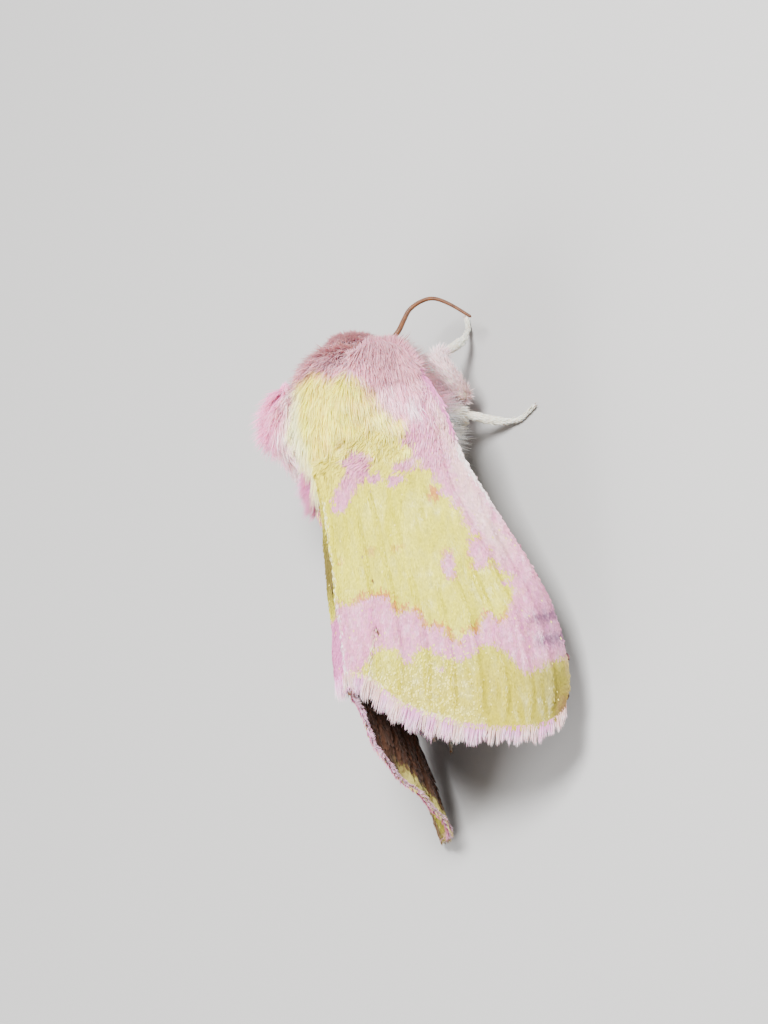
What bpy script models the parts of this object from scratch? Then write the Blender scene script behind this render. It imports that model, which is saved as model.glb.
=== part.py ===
"""Pink prairie moth at rest, life size, with its wings held as a roof.

The head points to -Y, the moth's left is +X and +Z is up. The feet stand on z = 0, and the
origin lies on that level, under the middle of the whole moth. Sizes are in millimetres in a
working frame whose y = 0 is where the ridge of the roof begins behind the thorax, and
CENTRE_SHIFT moves that frame to the origin. Limbs are written for one side, with x growing
away from the middle of the body.
"""
import math

import bmesh
import bpy
import numpy as np

MM = 0.001
CENTRE_SHIFT = (0.6911, -2.1717, 0.0)
GAP = 0.3

# Wings: the roof that they lie on, their thickness and their veins
RIDGE_Z = 8.2
ROOF_FRONT_P = -4.7
ROOF_BACK_P = 12.4
SWEEP_REACH = 8.2
WING_THICK = 0.5
EDGE_THICK_SHARE = 0.3
WING_BASE_P = -5.0
HINGE_WIDTH = 0.55
TORNUS_P = 8.6
VEIN_HEIGHT = 0.14
VEIN_HALF_WIDTH = 0.02
FORE_ROWS = 18
HIND_ROWS = 11
HIND_SINK = 0.94
HIND_BASE_P = -3.2
HIND_HINGE_WIDTH = 0.75
# How far across and back the wings' bay round the thorax reaches
THORAX_BAY = {"right": (4.3, 5.3), "left": (4.85, 5.3)}
FORE_INNER_Q = {"right": 0.12, "left": 0.75}
HIND_INNER_Q = {"right": 1.3, "left": 2.3}
# Each vein: its place across the wing, and how far back from the base it starts to show
FORE_VEINS = ((0.07, 0.08), (0.22, 0.42), (0.35, 0.06), (0.46, 0.58), (0.57, 0.64),
              (0.70, 0.58), (0.80, 0.06), (0.89, 0.45))
HIND_VEINS = ((0.15, 0.08), (0.38, 0.08), (0.58, 0.4), (0.8, 0.08))

# Body: each station is y, half width, top and bottom
BODY_SIDES = 24
BODY_POWER = 2.15
HEAD_SPAN = (-8.05, -7.05)
COLLAR_SPAN = (-6.75, -5.95)
THORAX_SPAN = (-5.65, -0.5)
ABDOMEN_SPAN = (-0.2, 7.6)
FORE_STATIONS = ((-8.05, 0.6, 5.85, 4.3), (-7.75, 1.15, 6.4, 3.85), (-7.05, 1.7, 7.2, 3.4),
                 (-6.75, 2.15, 7.7, 3.05), (-5.95, 2.8, 8.3, 2.55), (-4.6, 3.1, 8.6, 2.05),
                 (-3.2, 3.05, 8.6, 1.75), (-1.8, 2.45, 8.3, 2.0), (-0.5, 1.4, 7.45, 2.9))
REAR_STATIONS = ((-0.2, 1.3, 5.75, 2.6), (0.8, 1.5, 5.4, 2.1), (3.0, 1.45, 4.8, 1.6),
                 (5.2, 1.2, 4.2, 1.35), (6.8, 0.8, 3.6, 1.5), (7.6, 0.4, 3.0, 1.9))
ABDOMEN_ASIDE = -0.4
SEGMENT_LENGTH = 1.1
SEGMENT_STEP = 0.045

EYE_RADIUS = 0.58
EYE_CENTRE = (1.1, -7.65, 4.3)

# Tegulae: their middle, half reach and height, and their clearance of what is under them
TEGULA_MIDDLE = (3.1, -4.45)
TEGULA_REACH = (1.5, 2.15)
TEGULA_HEIGHT = {"left": 1.1, "right": 0.85}
TEGULA_CLEAR = 0.34

# Limbs. A root is y, the angle on the body turned from the limb's own side towards +Z, how
# far the limb starts from the body and how far it runs straight out. The radii are those at
# the root's two points and at each place after them.
LIMB_SIDES = 8
LIMB_STEPS = 3
LIMB_STEP_LENGTH = 0.32
EASE_ROUNDS = 2
ANTENNA_ROOT = (-7.4, 20.0, 0.55, 0.15)
ANTENNA = ((2.22, -7.3, 5.5), (2.22, -7.28, 4.95), (2.22, -7.75, 4.35), (2.15, -8.4, 3.85),
           (2.2, -8.95, 3.45), (2.6, -9.25, 3.06), (3.1, -9.23, 2.75), (3.6, -8.83, 2.31),
           (4.15, -8.1, 1.64))
ANTENNA_RADII = (0.15, 0.16, 0.2) + (0.25,) * 7 + (0.14,)
PALP_ROOT = (-7.2, -76.0, 0.48, 0.05)
PALP = ((0.44, -7.55, 2.74), (0.42, -7.95, 2.78), (0.38, -8.3, 3.1), (0.35, -8.42, 3.45))
PALP_RADII = (0.13, 0.14, 0.2, 0.25, 0.24, 0.16)
FORELEG_ROOT = (-6.35, -67.0, 0.55, 0.35)
FORELEG = ((1.75, -5.95, 1.6), (2.25, -5.25, 1.3), (2.9, -4.95, 1.45), (3.2, -5.3, 1.95),
           (3.1, -6.0, 2.4), (2.85, -6.65, 2.6), (2.75, -7.2, 2.1), (2.62, -7.75, 1.1),
           (2.5, -8.2, 0.45), (2.35, -8.65, 0.2), (2.2, -9.15, 0.2))
FORELEG_RADII = (0.36, 0.36, 0.36, 0.38, 0.4, 0.4, 0.38, 0.34, 0.3, 0.27, 0.25, 0.25, 0.2)
MIDLEG_ROOT = (-3.95, -68.0, 0.45, 0.35)
MIDLEG = ((1.85, -3.85, 1.15), (2.45, -3.9, 1.75), (2.9, -3.92, 2.15), (3.3, -3.7, 1.6),
          (3.67, -3.47, 0.9), (4.14, -3.31, 0.4), (4.8, -3.24, 0.2), (5.75, -3.48, 0.2))
MIDLEG_RADII = (0.3, 0.28, 0.26, 0.33, 0.25, 0.29, 0.28, 0.25, 0.25, 0.2)
HINDLEG_ROOT = (-2.2, -72.0, 0.45, 0.35)
HINDLEG = ((1.6, -1.5, 1.2), (2.2, -0.5, 1.5), (2.6, 0.7, 1.85), (2.75, 2.3, 1.45),
           (2.8, 4.4, 0.9), (2.8, 6.2, 0.4), (2.75, 7.6, 0.2), (2.7, 9.9, 0.2))
HINDLEG_RADII = (0.34, 0.32, 0.34, 0.36, 0.34, 0.3, 0.28, 0.25, 0.25, 0.2)

SIDES = {"left": 1, "right": -1}


# Scene, materials and meshes

def clear_scene():
    for item in list(bpy.data.objects):
        bpy.data.objects.remove(item, do_unlink=True)


def make_collection(name):
    group = bpy.data.collections.new(name)
    bpy.context.scene.collection.children.link(group)
    return group


def make_material(name, colour, roughness):
    material = bpy.data.materials.new(name)
    material.use_nodes = True
    shader = material.node_tree.nodes["Principled BSDF"]
    shader.inputs["Base Color"].default_value = (*colour, 1.0)
    shader.inputs["Roughness"].default_value = roughness
    shader.inputs["Metallic"].default_value = 0.0
    return material


def to_metres(points):
    """Places in the working frame, moved to the origin and made metres."""
    return (np.asarray(points, float) + np.array(CENTRE_SHIFT)) * MM


def mesh_from(name, points, faces):
    mesh = bpy.data.meshes.new(name)
    mesh.from_pydata(to_metres(points).tolist(), [], [tuple(map(int, face)) for face in faces])
    return mesh


def add_object(name, mesh, material, group):
    item = bpy.data.objects.new(name, mesh)
    mesh.materials.append(material)
    mesh.shade_smooth()
    group.objects.link(item)
    return item


# Curves and patches

def catmull_rom(points, per_span):
    """Smooth curve through the points, per_span steps between each pair."""
    pts = np.asarray(points, float)
    ends = np.vstack([2 * pts[0] - pts[1], pts, 2 * pts[-1] - pts[-2]])
    t = np.linspace(0, 1, per_span, endpoint=False)[:, None]
    runs = []
    for i in range(len(pts) - 1):
        a, b, c, d = ends[i:i + 4]
        square = 2 * a - 5 * b + 4 * c - d
        cube = 3 * b - a - 3 * c + d
        runs.append(0.5 * (2 * b + (c - a) * t + square * t ** 2 + cube * t ** 3))
    return np.vstack(runs + [pts[-1:]])


def along(curve, shares):
    """The places at the given shares of a curve's length."""
    steps = np.linalg.norm(np.diff(curve, axis=0), axis=1)
    reach = np.concatenate([[0.0], np.cumsum(steps)])
    places = np.asarray(shares, float) * reach[-1]
    columns = [np.interp(places, reach, curve[:, k]) for k in range(curve.shape[1])]
    return np.stack(columns, -1)


def patch(edges, u, v):
    """The flat patch inside four edges, u across and v back: both pairs of edges blended,
    less the blend of the four corners that they share."""
    base, outer, inner, costa = edges
    uu, vv = np.meshgrid(u, v)
    uu = uu[..., None]
    vv = vv[..., None]
    low = along(base, u)[None]
    high = along(outer, u)[None]
    near = along(inner, v)[:, None]
    far = along(costa, v)[:, None]
    front_corners = (1 - uu) * base[0] + uu * base[-1]
    back_corners = (1 - uu) * outer[0] + uu * outer[-1]
    corners = (1 - vv) * front_corners + vv * back_corners
    return (1 - vv) * low + vv * high + (1 - uu) * near + uu * far - corners


def grid_triangles(rows, columns, flip):
    """Two triangles for each cell of a grid, split the same way throughout."""
    r, c = np.meshgrid(np.arange(rows - 1), np.arange(columns - 1), indexing="ij")
    a = (r * columns + c).ravel()
    d = a + columns
    faces = np.vstack([np.stack([a, a + 1, d + 1], -1), np.stack([a, d + 1, d], -1)])
    return faces[:, ::-1] if flip else faces


# Wings

class Roof:
    """The surface that one folded forewing lies on.

    A place on the flattened wing is q, across from the ridge, and p, back from the start of
    the ridge. The roof falls at `eaves` degrees at the ridge and steeper outwards, by `curl`
    degrees within the first `spread` of q; both change from the base of the wing to its tip,
    the first with the share of that way raised to a power. `sweep` draws the tip back, `tuck`
    slides the wing over the ridge, and `flare` bends its front edge out again, in degrees.
    """

    def __init__(self, side, eaves, curl, spread, sweep=0.0, tuck=0.0, flare=0.0):
        self.side = side
        self.eaves = eaves
        self.curl = curl
        self.spread = spread
        self.sweep = sweep
        self.tuck = tuck
        self.flare = math.radians(flare)

    def place(self, q, p):
        """Add up the slope's cosine and sine along q, by Gauss-Legendre's rule."""
        q = np.asarray(q, float)
        p = np.asarray(p, float)
        back = np.clip((p - ROOF_FRONT_P) / (ROOF_BACK_P - ROOF_FRONT_P), 0, 1)
        first, last, power = self.eaves
        eaves = np.radians(first + (last - first) * back ** power)
        curl = np.radians(self.curl[0] + (self.curl[1] - self.curl[0]) * back)
        q = q - self.tuck * np.clip(1.6 * back - 0.4, 0, 1)
        x = np.zeros_like(q)
        z = np.zeros_like(q)
        for node, weight in zip(*np.polynomial.legendre.leggauss(10)):
            reach = q * (node + 1) / 2
            slope = eaves + curl * (1 - np.exp(-np.abs(reach) / self.spread))
            slope = slope - self.flare * back * np.clip((reach - 5) / 3, 0, 1)
            x = x + weight * q / 2 * np.cos(slope)
            z = z - weight * q / 2 * np.sin(slope)
        y = p + self.sweep * back * np.clip(q, 0, None) / SWEEP_REACH
        return np.stack([self.side * x, y, RIDGE_Z + z], -1)

    def normal(self, q, p):
        """The direction out of the roof, from steps along q and p."""
        step = 0.02
        across = self.place(q + step, p) - self.place(q - step, p)
        back = self.place(q, p + step) - self.place(q, p - step)
        out = np.cross(across, back)
        out = np.where(out[..., 2:] < 0, -out, out)
        return out / np.linalg.norm(out, axis=-1, keepdims=True)

    def height(self, x, y):
        """The roof's height over the places x, y, read off one crosswise line for each."""
        q = np.linspace(-1.5, 9, 60)
        heights = np.empty_like(x)
        for index in np.ndindex(x.shape):
            line = self.place(q, np.full_like(q, y[index]))
            order = np.argsort(line[:, 0])
            heights[index] = np.interp(x[index], line[order, 0], line[order, 2])
        return heights


ROOFS = {"right": Roof(-1, (20.0, 26.0, 1.0), (106.0, 113.0), 30.0),
         "left": Roof(+1, (10.0, 34.0, 0.5), (16.0, 45.0), 0.5, 1.39, 0.37, 45.0)}


def thorax_bay(reach, front_p, inner_q):
    """A quarter of an ellipse round the back of the thorax, down to the inner margin."""
    turn = np.linspace(0, math.pi / 2, 24)
    bay = np.stack([reach[0] * np.cos(turn), front_p + reach[1] * np.sin(turn)], -1)
    bay = bay[bay[:, 0] > inner_q + 0.1]
    return np.vstack([bay, [(inner_q, bay[-1, 1] + 0.25)]])


def forewing_edges(label):
    """The flat forewing's base, outer edge, inner margin and costa, out to the fringe."""
    inner_q = FORE_INNER_Q[label]
    bay = THORAX_BAY[label]
    hinge = (bay[0] + HINGE_WIDTH, WING_BASE_P)
    inner = np.vstack([thorax_bay(bay, WING_BASE_P, inner_q), [(inner_q, TORNUS_P)]])
    costa = catmull_rom([hinge, (5.9, -3.4), (6.64, -0.27), (7.88, 2.76), (8.6, 4.53),
                         (9.31, 6.46), (9.62, 8.94), (9.45, 10.5), (8.95, 12.15)], 8)
    outer = catmull_rom([(inner_q, TORNUS_P), (1.6, 10.55), (3.05, 11.9), (5.1, 12.5),
                         (7.4, 12.68), (8.95, 12.15)], 8)
    base = np.linspace((bay[0], WING_BASE_P), hinge, 5)
    return base, outer, inner, costa


def hindwing_edges(label):
    """The flat hindwing's four edges: a smaller fan, folded under the forewing."""
    inner_q = HIND_INNER_Q[label]
    reach = (THORAX_BAY[label][0] + 0.5, 3.9)
    hinge = (reach[0] + HIND_HINGE_WIDTH, HIND_BASE_P)
    tip = (7.1, 8.3)
    inner = np.vstack([thorax_bay(reach, HIND_BASE_P, inner_q), [(inner_q, 8.1)]])
    costa = catmull_rom([hinge, (6.25, -1.0), (6.7, 2.5), (7.2, 6.0), tip], 8)
    outer = catmull_rom([(inner_q, 8.1), (inner_q + 1.5, 9.3), (4.9, 9.8), (6.2, 9.5), tip], 8)
    base = np.linspace((reach[0], HIND_BASE_P), hinge, 5)
    return base, outer, inner, costa


def vein_columns(veins, filler):
    """Columns on each vein and close beside it, with others between, at most filler apart."""
    marks = [0.0, 1.0]
    for place, _ in veins:
        marks += [place - VEIN_HALF_WIDTH, place, place + VEIN_HALF_WIDTH]
    marks = sorted(marks)
    columns = [1.0]
    for first, last in zip(marks[:-1], marks[1:]):
        parts = max(1, round((last - first) / filler))
        columns += np.linspace(first, last, parts, endpoint=False).tolist()
    return np.array(sorted(columns))


def vein_rise(u, v, veins):
    """The height of the veins at each place: ridges with straight sides, each growing from
    its own start and running out before the wing's edge."""
    uu, vv = np.meshgrid(u, v)
    rise = np.zeros_like(uu)
    for place, start in veins:
        near = np.clip(1 - np.abs(uu - place) / VEIN_HALF_WIDTH, 0, 1)
        shown = np.clip((vv - start) / 0.15, 0, 1) * np.clip((0.97 - vv) / 0.05, 0, 1)
        rise = np.maximum(rise, near * shown)
    return VEIN_HEIGHT * rise


def membrane_thickness(u, v):
    """The wing's thickness without its veins, less at the inner margin and outer edge."""
    uu, vv = np.meshgrid(u, v)
    full = np.clip(uu / 0.08, 0, 1) * np.clip((1 - vv) / 0.06, 0, 1)
    return WING_THICK * (EDGE_THICK_SHARE + (1 - EDGE_THICK_SHARE) * full)


def wing(name, roof, edges, veins, filler, rows, sink, material, group):
    """A wing: its smooth underside is the patch laid below the roof, and Solidify builds the
    upper side from the thickness of membrane and veins, held in a vertex group."""
    u = vein_columns(veins, filler)
    v = np.linspace(0, 1, rows)
    flat = patch(edges, u, v)
    q, p = flat[..., 0], flat[..., 1]
    membrane = membrane_thickness(u, v)
    points = roof.place(q, p) - roof.normal(q, p) * (sink + membrane)[..., None]
    faces = grid_triangles(rows, len(u), roof.side < 0)
    item = add_object(name, mesh_from(name, points.reshape(-1, 3), faces), material, group)
    thickness = membrane + vein_rise(u, v, veins)
    thickest = WING_THICK + VEIN_HEIGHT
    weights = item.vertex_groups.new(name="thickness")
    for index, share in enumerate((thickness / thickest).ravel()):
        weights.add([index], float(share), "REPLACE")
    shell = item.modifiers.new("thickness", "SOLIDIFY")
    shell.thickness = thickest * MM
    shell.offset = 1.0
    shell.vertex_group = weights.name
    return item


# Body

def body_section(stations, y):
    """Half width, middle height and half height of the body at each y."""
    curve = catmull_rom(stations, 12)
    half = np.interp(y, curve[:, 0], curve[:, 1])
    top = np.interp(y, curve[:, 0], curve[:, 2])
    bottom = np.interp(y, curve[:, 0], curve[:, 3])
    return half, (top + bottom) / 2, (top - bottom) / 2


def body_point(stations, y, angle):
    """A place on the body: a superellipse at y, at an angle turned from +X towards +Z."""
    half, middle, tall = body_section(stations, y)
    c, s = np.cos(angle), np.sin(angle)
    x = half * np.sign(c) * np.abs(c) ** (2 / BODY_POWER)
    z = middle + tall * np.sign(s) * np.abs(s) ** (2 / BODY_POWER)
    return np.stack(np.broadcast_arrays(x, y, z), -1)


def body_height(stations, x, y):
    """The top of the body over the places x, y, and far below where there is none."""
    half, middle, tall = body_section(stations, y)
    inside = 1 - np.abs(x / half) ** BODY_POWER
    top = middle + tall * np.abs(inside) ** (1 / BODY_POWER)
    return np.where(inside > 0, top, -9.0)


def loft_rings(name, points, material, group):
    """A closed solid from rings of points, with a flat face at each end."""
    rings, sides = points.shape[:2]
    index = np.arange(rings * sides).reshape(rings, sides)
    beside = np.roll(index, -1, axis=1)
    walls = np.stack([beside[:-1], index[:-1], index[1:], beside[1:]], -1).reshape(-1, 4)
    faces = walls.tolist() + [index[0].tolist(), index[-1, ::-1].tolist()]
    return add_object(name, mesh_from(name, points.reshape(-1, 3), faces), material, group)


def body_piece(name, span, rings, material, group):
    """A length of the fore body between two flat faces."""
    y = np.linspace(span[0], span[1], rings)[:, None]
    angles = np.arange(BODY_SIDES)[None, :] * 2 * math.pi / BODY_SIDES
    return loft_rings(name, body_point(FORE_STATIONS, y, angles), material, group)


def abdomen(material, group):
    """The abdomen: each segment swells a little towards its back edge, then steps in."""
    front, back = ABDOMEN_SPAN
    seams = np.arange(front + SEGMENT_LENGTH, back - 0.3, SEGMENT_LENGTH)
    places = [front, (front + seams[0]) / 2]
    for seam in seams:
        places += [seam - 0.12, seam + 0.12, seam + SEGMENT_LENGTH / 2]
    y = np.array([place for place in places if place < back] + [back])
    swell = SEGMENT_STEP * (2 * np.mod((y - front) / SEGMENT_LENGTH, 1.0) - 1)
    angles = np.arange(BODY_SIDES)[None, :] * 2 * math.pi / BODY_SIDES
    points = body_point(REAR_STATIONS, y[:, None], angles)
    middle = body_section(REAR_STATIONS, y)[1]
    axis = np.stack([np.zeros_like(y), y, middle], -1)[:, None]
    points = axis + (points - axis) * (1 + swell[:, None, None])
    points[..., 0] += ABDOMEN_ASIDE
    return loft_rings("abdomen", points, material, group)


def ball(name, centre, radius, segments, material, group):
    work = bmesh.new()
    rings = segments // 2 + 2
    bmesh.ops.create_uvsphere(work, u_segments=segments, v_segments=rings, radius=radius * MM)
    bmesh.ops.translate(work, verts=work.verts, vec=to_metres(centre).tolist())
    mesh = bpy.data.meshes.new(name)
    work.to_mesh(mesh)
    work.free()
    return add_object(name, mesh, material, group)


def cut_socket(item, name, centre, cutters):
    """A round socket for an eye, GAP wider than the eye all round."""
    cutter = ball(name, centre, EYE_RADIUS + GAP, 20, item.data.materials[0], cutters)
    cutter.hide_render = True
    cutter.display_type = "WIRE"
    cut = item.modifiers.new(name, "BOOLEAN")
    cut.operation = "DIFFERENCE"
    cut.solver = "EXACT"
    cut.object = cutter


def ground_under_tegula(roof, x, y):
    """The lowest height that keeps TEGULA_CLEAR from thorax and wing: both are raised by a
    ball of that radius rolled over them."""
    ground = np.full_like(x, -9.0)
    for share in (0.0, 0.5, 0.9):
        reach = TEGULA_CLEAR * share
        lift = math.sqrt(TEGULA_CLEAR ** 2 - reach ** 2)
        for turn in np.arange(8) * math.pi / 4:
            near_x = x + reach * math.cos(turn)
            near_y = y + reach * math.sin(turn)
            top = np.maximum(body_height(FORE_STATIONS, near_x, near_y),
                             roof.height(near_x, near_y) + VEIN_HEIGHT)
            ground = np.maximum(ground, top + lift)
    return ground


def tegula(label, material, group):
    """A rounded pad over the shoulder of the thorax and the root of the wing: a ball whose
    lower half is laid on the ground that it keeps clear of, and whose upper half rises
    above that by up to its height."""
    work = bmesh.new()
    bmesh.ops.create_uvsphere(work, u_segments=20, v_segments=10, radius=1.0)
    unit = np.array([vert.co[:] for vert in work.verts])
    x = SIDES[label] * TEGULA_MIDDLE[0] + TEGULA_REACH[0] * unit[:, 0]
    y = TEGULA_MIDDLE[1] + TEGULA_REACH[1] * unit[:, 1]
    ground = ground_under_tegula(ROOFS[label], x, y)
    z = ground + TEGULA_HEIGHT[label] * np.clip(unit[:, 2], 0, 1)
    for vert, place in zip(work.verts, to_metres(np.stack([x, y, z], -1))):
        vert.co = place
    bmesh.ops.recalc_face_normals(work, faces=work.faces)
    mesh = bpy.data.meshes.new("tegula_" + label)
    work.to_mesh(mesh)
    work.free()
    return add_object("tegula_" + label, mesh, material, group)


# Limbs

def hip(root, side):
    """A limb's first two points: just clear of the body, and a little further straight out."""
    y, degrees, gap, reach = root
    angle = math.radians(degrees)
    spot = body_point(FORE_STATIONS, np.array(y), np.array(angle))
    half, middle, tall = body_section(FORE_STATIONS, y)
    out = np.array([spot[0] / half ** 2, 0.0, (spot[2] - middle) / tall ** 2])
    out = out / np.linalg.norm(out)
    start = spot + out * gap
    return [start * (side, 1, 1), (start + out * reach) * (side, 1, 1)]


def even_path(places):
    """A smooth curve through places and radii, at even steps, with its sharp bends eased by
    averaging each step with its neighbours, so that a tube round it doesn't fold."""
    curve = catmull_rom(places, LIMB_STEPS)
    length = np.linalg.norm(np.diff(curve[:, :3], axis=0), axis=1).sum()
    path = along(curve, np.linspace(0, 1, round(length / LIMB_STEP_LENGTH) + 1))
    for _ in range(EASE_ROUNDS):
        path[1:-1] = (path[:-2] + 2 * path[1:-1] + path[2:]) / 4
    return path


def limb(name, label, root, places, radii, material, group, on_floor=False):
    """A limb: a smooth path from the hip through its places, a tube with its own radius at
    each and closed ends. One that stands on the floor is cut flat there."""
    side = SIDES[label]
    points = hip(root, side) + [(side * x, y, z) for x, y, z in places]
    path = even_path(np.column_stack([points, radii]))
    path[:, :3] = to_metres(path[:, :3])
    curve = bpy.data.curves.new(name, "CURVE")
    curve.dimensions = "3D"
    curve.bevel_depth = MM
    curve.bevel_resolution = LIMB_SIDES // 4
    curve.use_fill_caps = True
    spline = curve.splines.new("POLY")
    spline.points.add(len(path) - 1)
    for point, row in zip(spline.points, path):
        point.co = (*row[:3], 1.0)
        point.radius = row[3]
    holder = bpy.data.objects.new(name + "_path", curve)
    group.objects.link(holder)
    graph = bpy.context.evaluated_depsgraph_get()
    mesh = bpy.data.meshes.new_from_object(holder.evaluated_get(graph))
    bpy.data.objects.remove(holder, do_unlink=True)
    work = bmesh.new()
    work.from_mesh(mesh)
    bmesh.ops.remove_doubles(work, verts=work.verts, dist=MM * 0.001)
    if on_floor:
        everything = work.verts[:] + work.edges[:] + work.faces[:]
        bmesh.ops.bisect_plane(work, geom=everything, plane_co=(0, 0, 0), plane_no=(0, 0, 1),
                               clear_inner=True)
        bmesh.ops.holes_fill(work, edges=work.edges, sides=0)
    bmesh.ops.recalc_face_normals(work, faces=work.faces)
    work.to_mesh(mesh)
    work.free()
    full_name = name + "_" + label
    mesh.name = full_name
    return add_object(full_name, mesh, material, group)


def facet(group):
    """Cut every face of the group's objects into triangles, after their other modifiers, so
    that a four-cornered face that isn't quite flat has one definite shape."""
    for item in group.objects:
        item.modifiers.new("facets", "TRIANGULATE")


def build():
    clear_scene()
    group = make_collection("pink_prairie_moth")
    cutters = make_collection("pink_prairie_moth_cutters")
    thorax_fur = make_material("thorax_fur", (0.78, 0.66, 0.30), 0.9)
    collar_fur = make_material("collar_fur", (0.62, 0.36, 0.42), 0.9)
    tegula_fur = make_material("tegula_fur", (0.75, 0.42, 0.58), 0.9)
    abdomen_fur = make_material("abdomen_fur", (0.80, 0.74, 0.62), 0.9)
    forewing_scales = make_material("forewing_scales", (0.75, 0.65, 0.28), 0.7)
    hindwing_scales = make_material("hindwing_scales", (0.62, 0.50, 0.40), 0.75)
    leg_scales = make_material("leg_scales", (0.82, 0.78, 0.66), 0.8)
    antenna_brown = make_material("antenna_brown", (0.50, 0.24, 0.10), 0.55)
    eye_black = make_material("eye_black", (0.03, 0.025, 0.02), 0.15)

    head = body_piece("head", HEAD_SPAN, 7, collar_fur, group)
    body_piece("collar", COLLAR_SPAN, 4, collar_fur, group)
    body_piece("thorax", THORAX_SPAN, 14, thorax_fur, group)
    abdomen(abdomen_fur, group)
    for label, side in SIDES.items():
        roof = ROOFS[label]
        eye = (side * EYE_CENTRE[0], EYE_CENTRE[1], EYE_CENTRE[2])
        ball("eye_" + label, eye, EYE_RADIUS, 16, eye_black, group)
        cut_socket(head, "socket_" + label, eye, cutters)
        wing("forewing_" + label, roof, forewing_edges(label), FORE_VEINS, 0.09, FORE_ROWS,
             0.0, forewing_scales, group)
        wing("hindwing_" + label, roof, hindwing_edges(label), HIND_VEINS, 0.2, HIND_ROWS,
             HIND_SINK, hindwing_scales, group)
        tegula(label, tegula_fur, group)
        limb("antenna", label, ANTENNA_ROOT, ANTENNA, ANTENNA_RADII, antenna_brown, group)
        limb("palp", label, PALP_ROOT, PALP, PALP_RADII, collar_fur, group)
        limb("foreleg", label, FORELEG_ROOT, FORELEG, FORELEG_RADII, leg_scales, group, True)
        limb("midleg", label, MIDLEG_ROOT, MIDLEG, MIDLEG_RADII, leg_scales, group, True)
        limb("hindleg", label, HINDLEG_ROOT, HINDLEG, HINDLEG_RADII, leg_scales, group, True)
    facet(group)


build()
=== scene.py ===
"""The pink prairie moth's looks: scales, fur, eyes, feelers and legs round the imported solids.

Sizes are in millimetres in the moth's own frame: +X to its left, the head to -Y, the feet on
z = 0, and y = 0 where the ridge of the folded wings begins. `metres` moves them to the frame
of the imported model. A place on a flattened wing is q, across from the ridge, and p, back.
"""
import math
from functools import partial

import bpy
import numpy as np
from mathutils import Matrix


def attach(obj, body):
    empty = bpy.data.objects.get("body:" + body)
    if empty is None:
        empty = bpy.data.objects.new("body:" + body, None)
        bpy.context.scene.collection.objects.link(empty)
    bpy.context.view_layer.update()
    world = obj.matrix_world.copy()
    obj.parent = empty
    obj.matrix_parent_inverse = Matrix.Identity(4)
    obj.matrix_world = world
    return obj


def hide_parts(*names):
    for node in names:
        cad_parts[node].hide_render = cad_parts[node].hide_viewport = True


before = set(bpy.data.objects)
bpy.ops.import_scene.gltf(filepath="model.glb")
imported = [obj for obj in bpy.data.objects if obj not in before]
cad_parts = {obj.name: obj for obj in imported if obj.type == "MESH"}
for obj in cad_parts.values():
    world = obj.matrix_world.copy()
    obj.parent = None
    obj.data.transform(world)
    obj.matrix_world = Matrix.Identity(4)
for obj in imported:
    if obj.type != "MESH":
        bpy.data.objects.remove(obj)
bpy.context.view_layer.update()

MM = 0.001
CENTRE_SHIFT = np.array([0.6911, -2.1717, 0.0])
SIDES = {"left": 1, "right": -1}
FULL_TURN = 2 * math.pi

# The roof that the folded wings lie on
RIDGE_Z = 8.2
ROOF_FRONT_P = -4.7
ROOF_BACK_P = 12.4
SWEEP_REACH = 8.2
WING_BASE_P = -5.0
FORE_HINGE = {"right": 4.85, "left": 5.4}
SHEET_THICK = 0.1
VEIN_HEIGHT = 0.08
THORAX_BAY = {"right": (3.1, 3.2), "left": (3.5, 3.5)}
HIND_BAY = {"right": (4.6, 3.1), "left": (5.0, 3.1)}
FORE_INNER_Q = {"right": (-0.3, -1.1), "left": (0.62, 0.62)}
FORE_LIFT = {"right": -0.02, "left": -0.12}
HIND_INNER_Q = {"right": 1.3, "left": 2.3}
HIND_LIFT = -1.05
HIND_BASE_P = -2.4
LAP_SLOPE = 18.0

# The flat forewing's front and outer edges, without its fringe
FORE_COSTA = ((5.1, -5.0), (5.9, -3.4), (6.64, -0.27), (7.88, 2.76), (8.6, 4.53), (9.31, 6.46),
              (9.62, 8.94), (9.55, 10.2))
FORE_OUTER = ((0.2, 8.0), (1.13, 8.5), (1.75, 9.28), (2.8, 10.22), (4.65, 11.2), (6.2, 11.65),
              (7.6, 11.8), (8.6, 11.65))
FRINGE_CURL = {"right": 0.05, "left": 0.9}
OUTER_REACH = {"right": 0.0, "left": 0.72}
APEX = {"right": (9.2, 11.15), "left": (9.45, 12.15)}
FRINGE_REACH = {"right": 0.86, "left": 0.26}
FRINGE_PINK = {"right": 0.62, "left": 0.9}
FRINGE_TEETH = 80
FRINGE_COUNT = {"right": 4200, "left": 1800}

# Where the wing's veins run, as shares of its width, and how far back each starts
FORE_VEINS = ((0.1, 0.05), (0.24, 0.42), (0.35, 0.03), (0.46, 0.55), (0.56, 0.6), (0.66, 0.55),
              (0.75, 0.5), (0.84, 0.05), (0.92, 0.4))
HIND_VEINS = ((0.15, 0.05), (0.3, 0.3), (0.45, 0.05), (0.62, 0.35), (0.8, 0.05))

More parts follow.
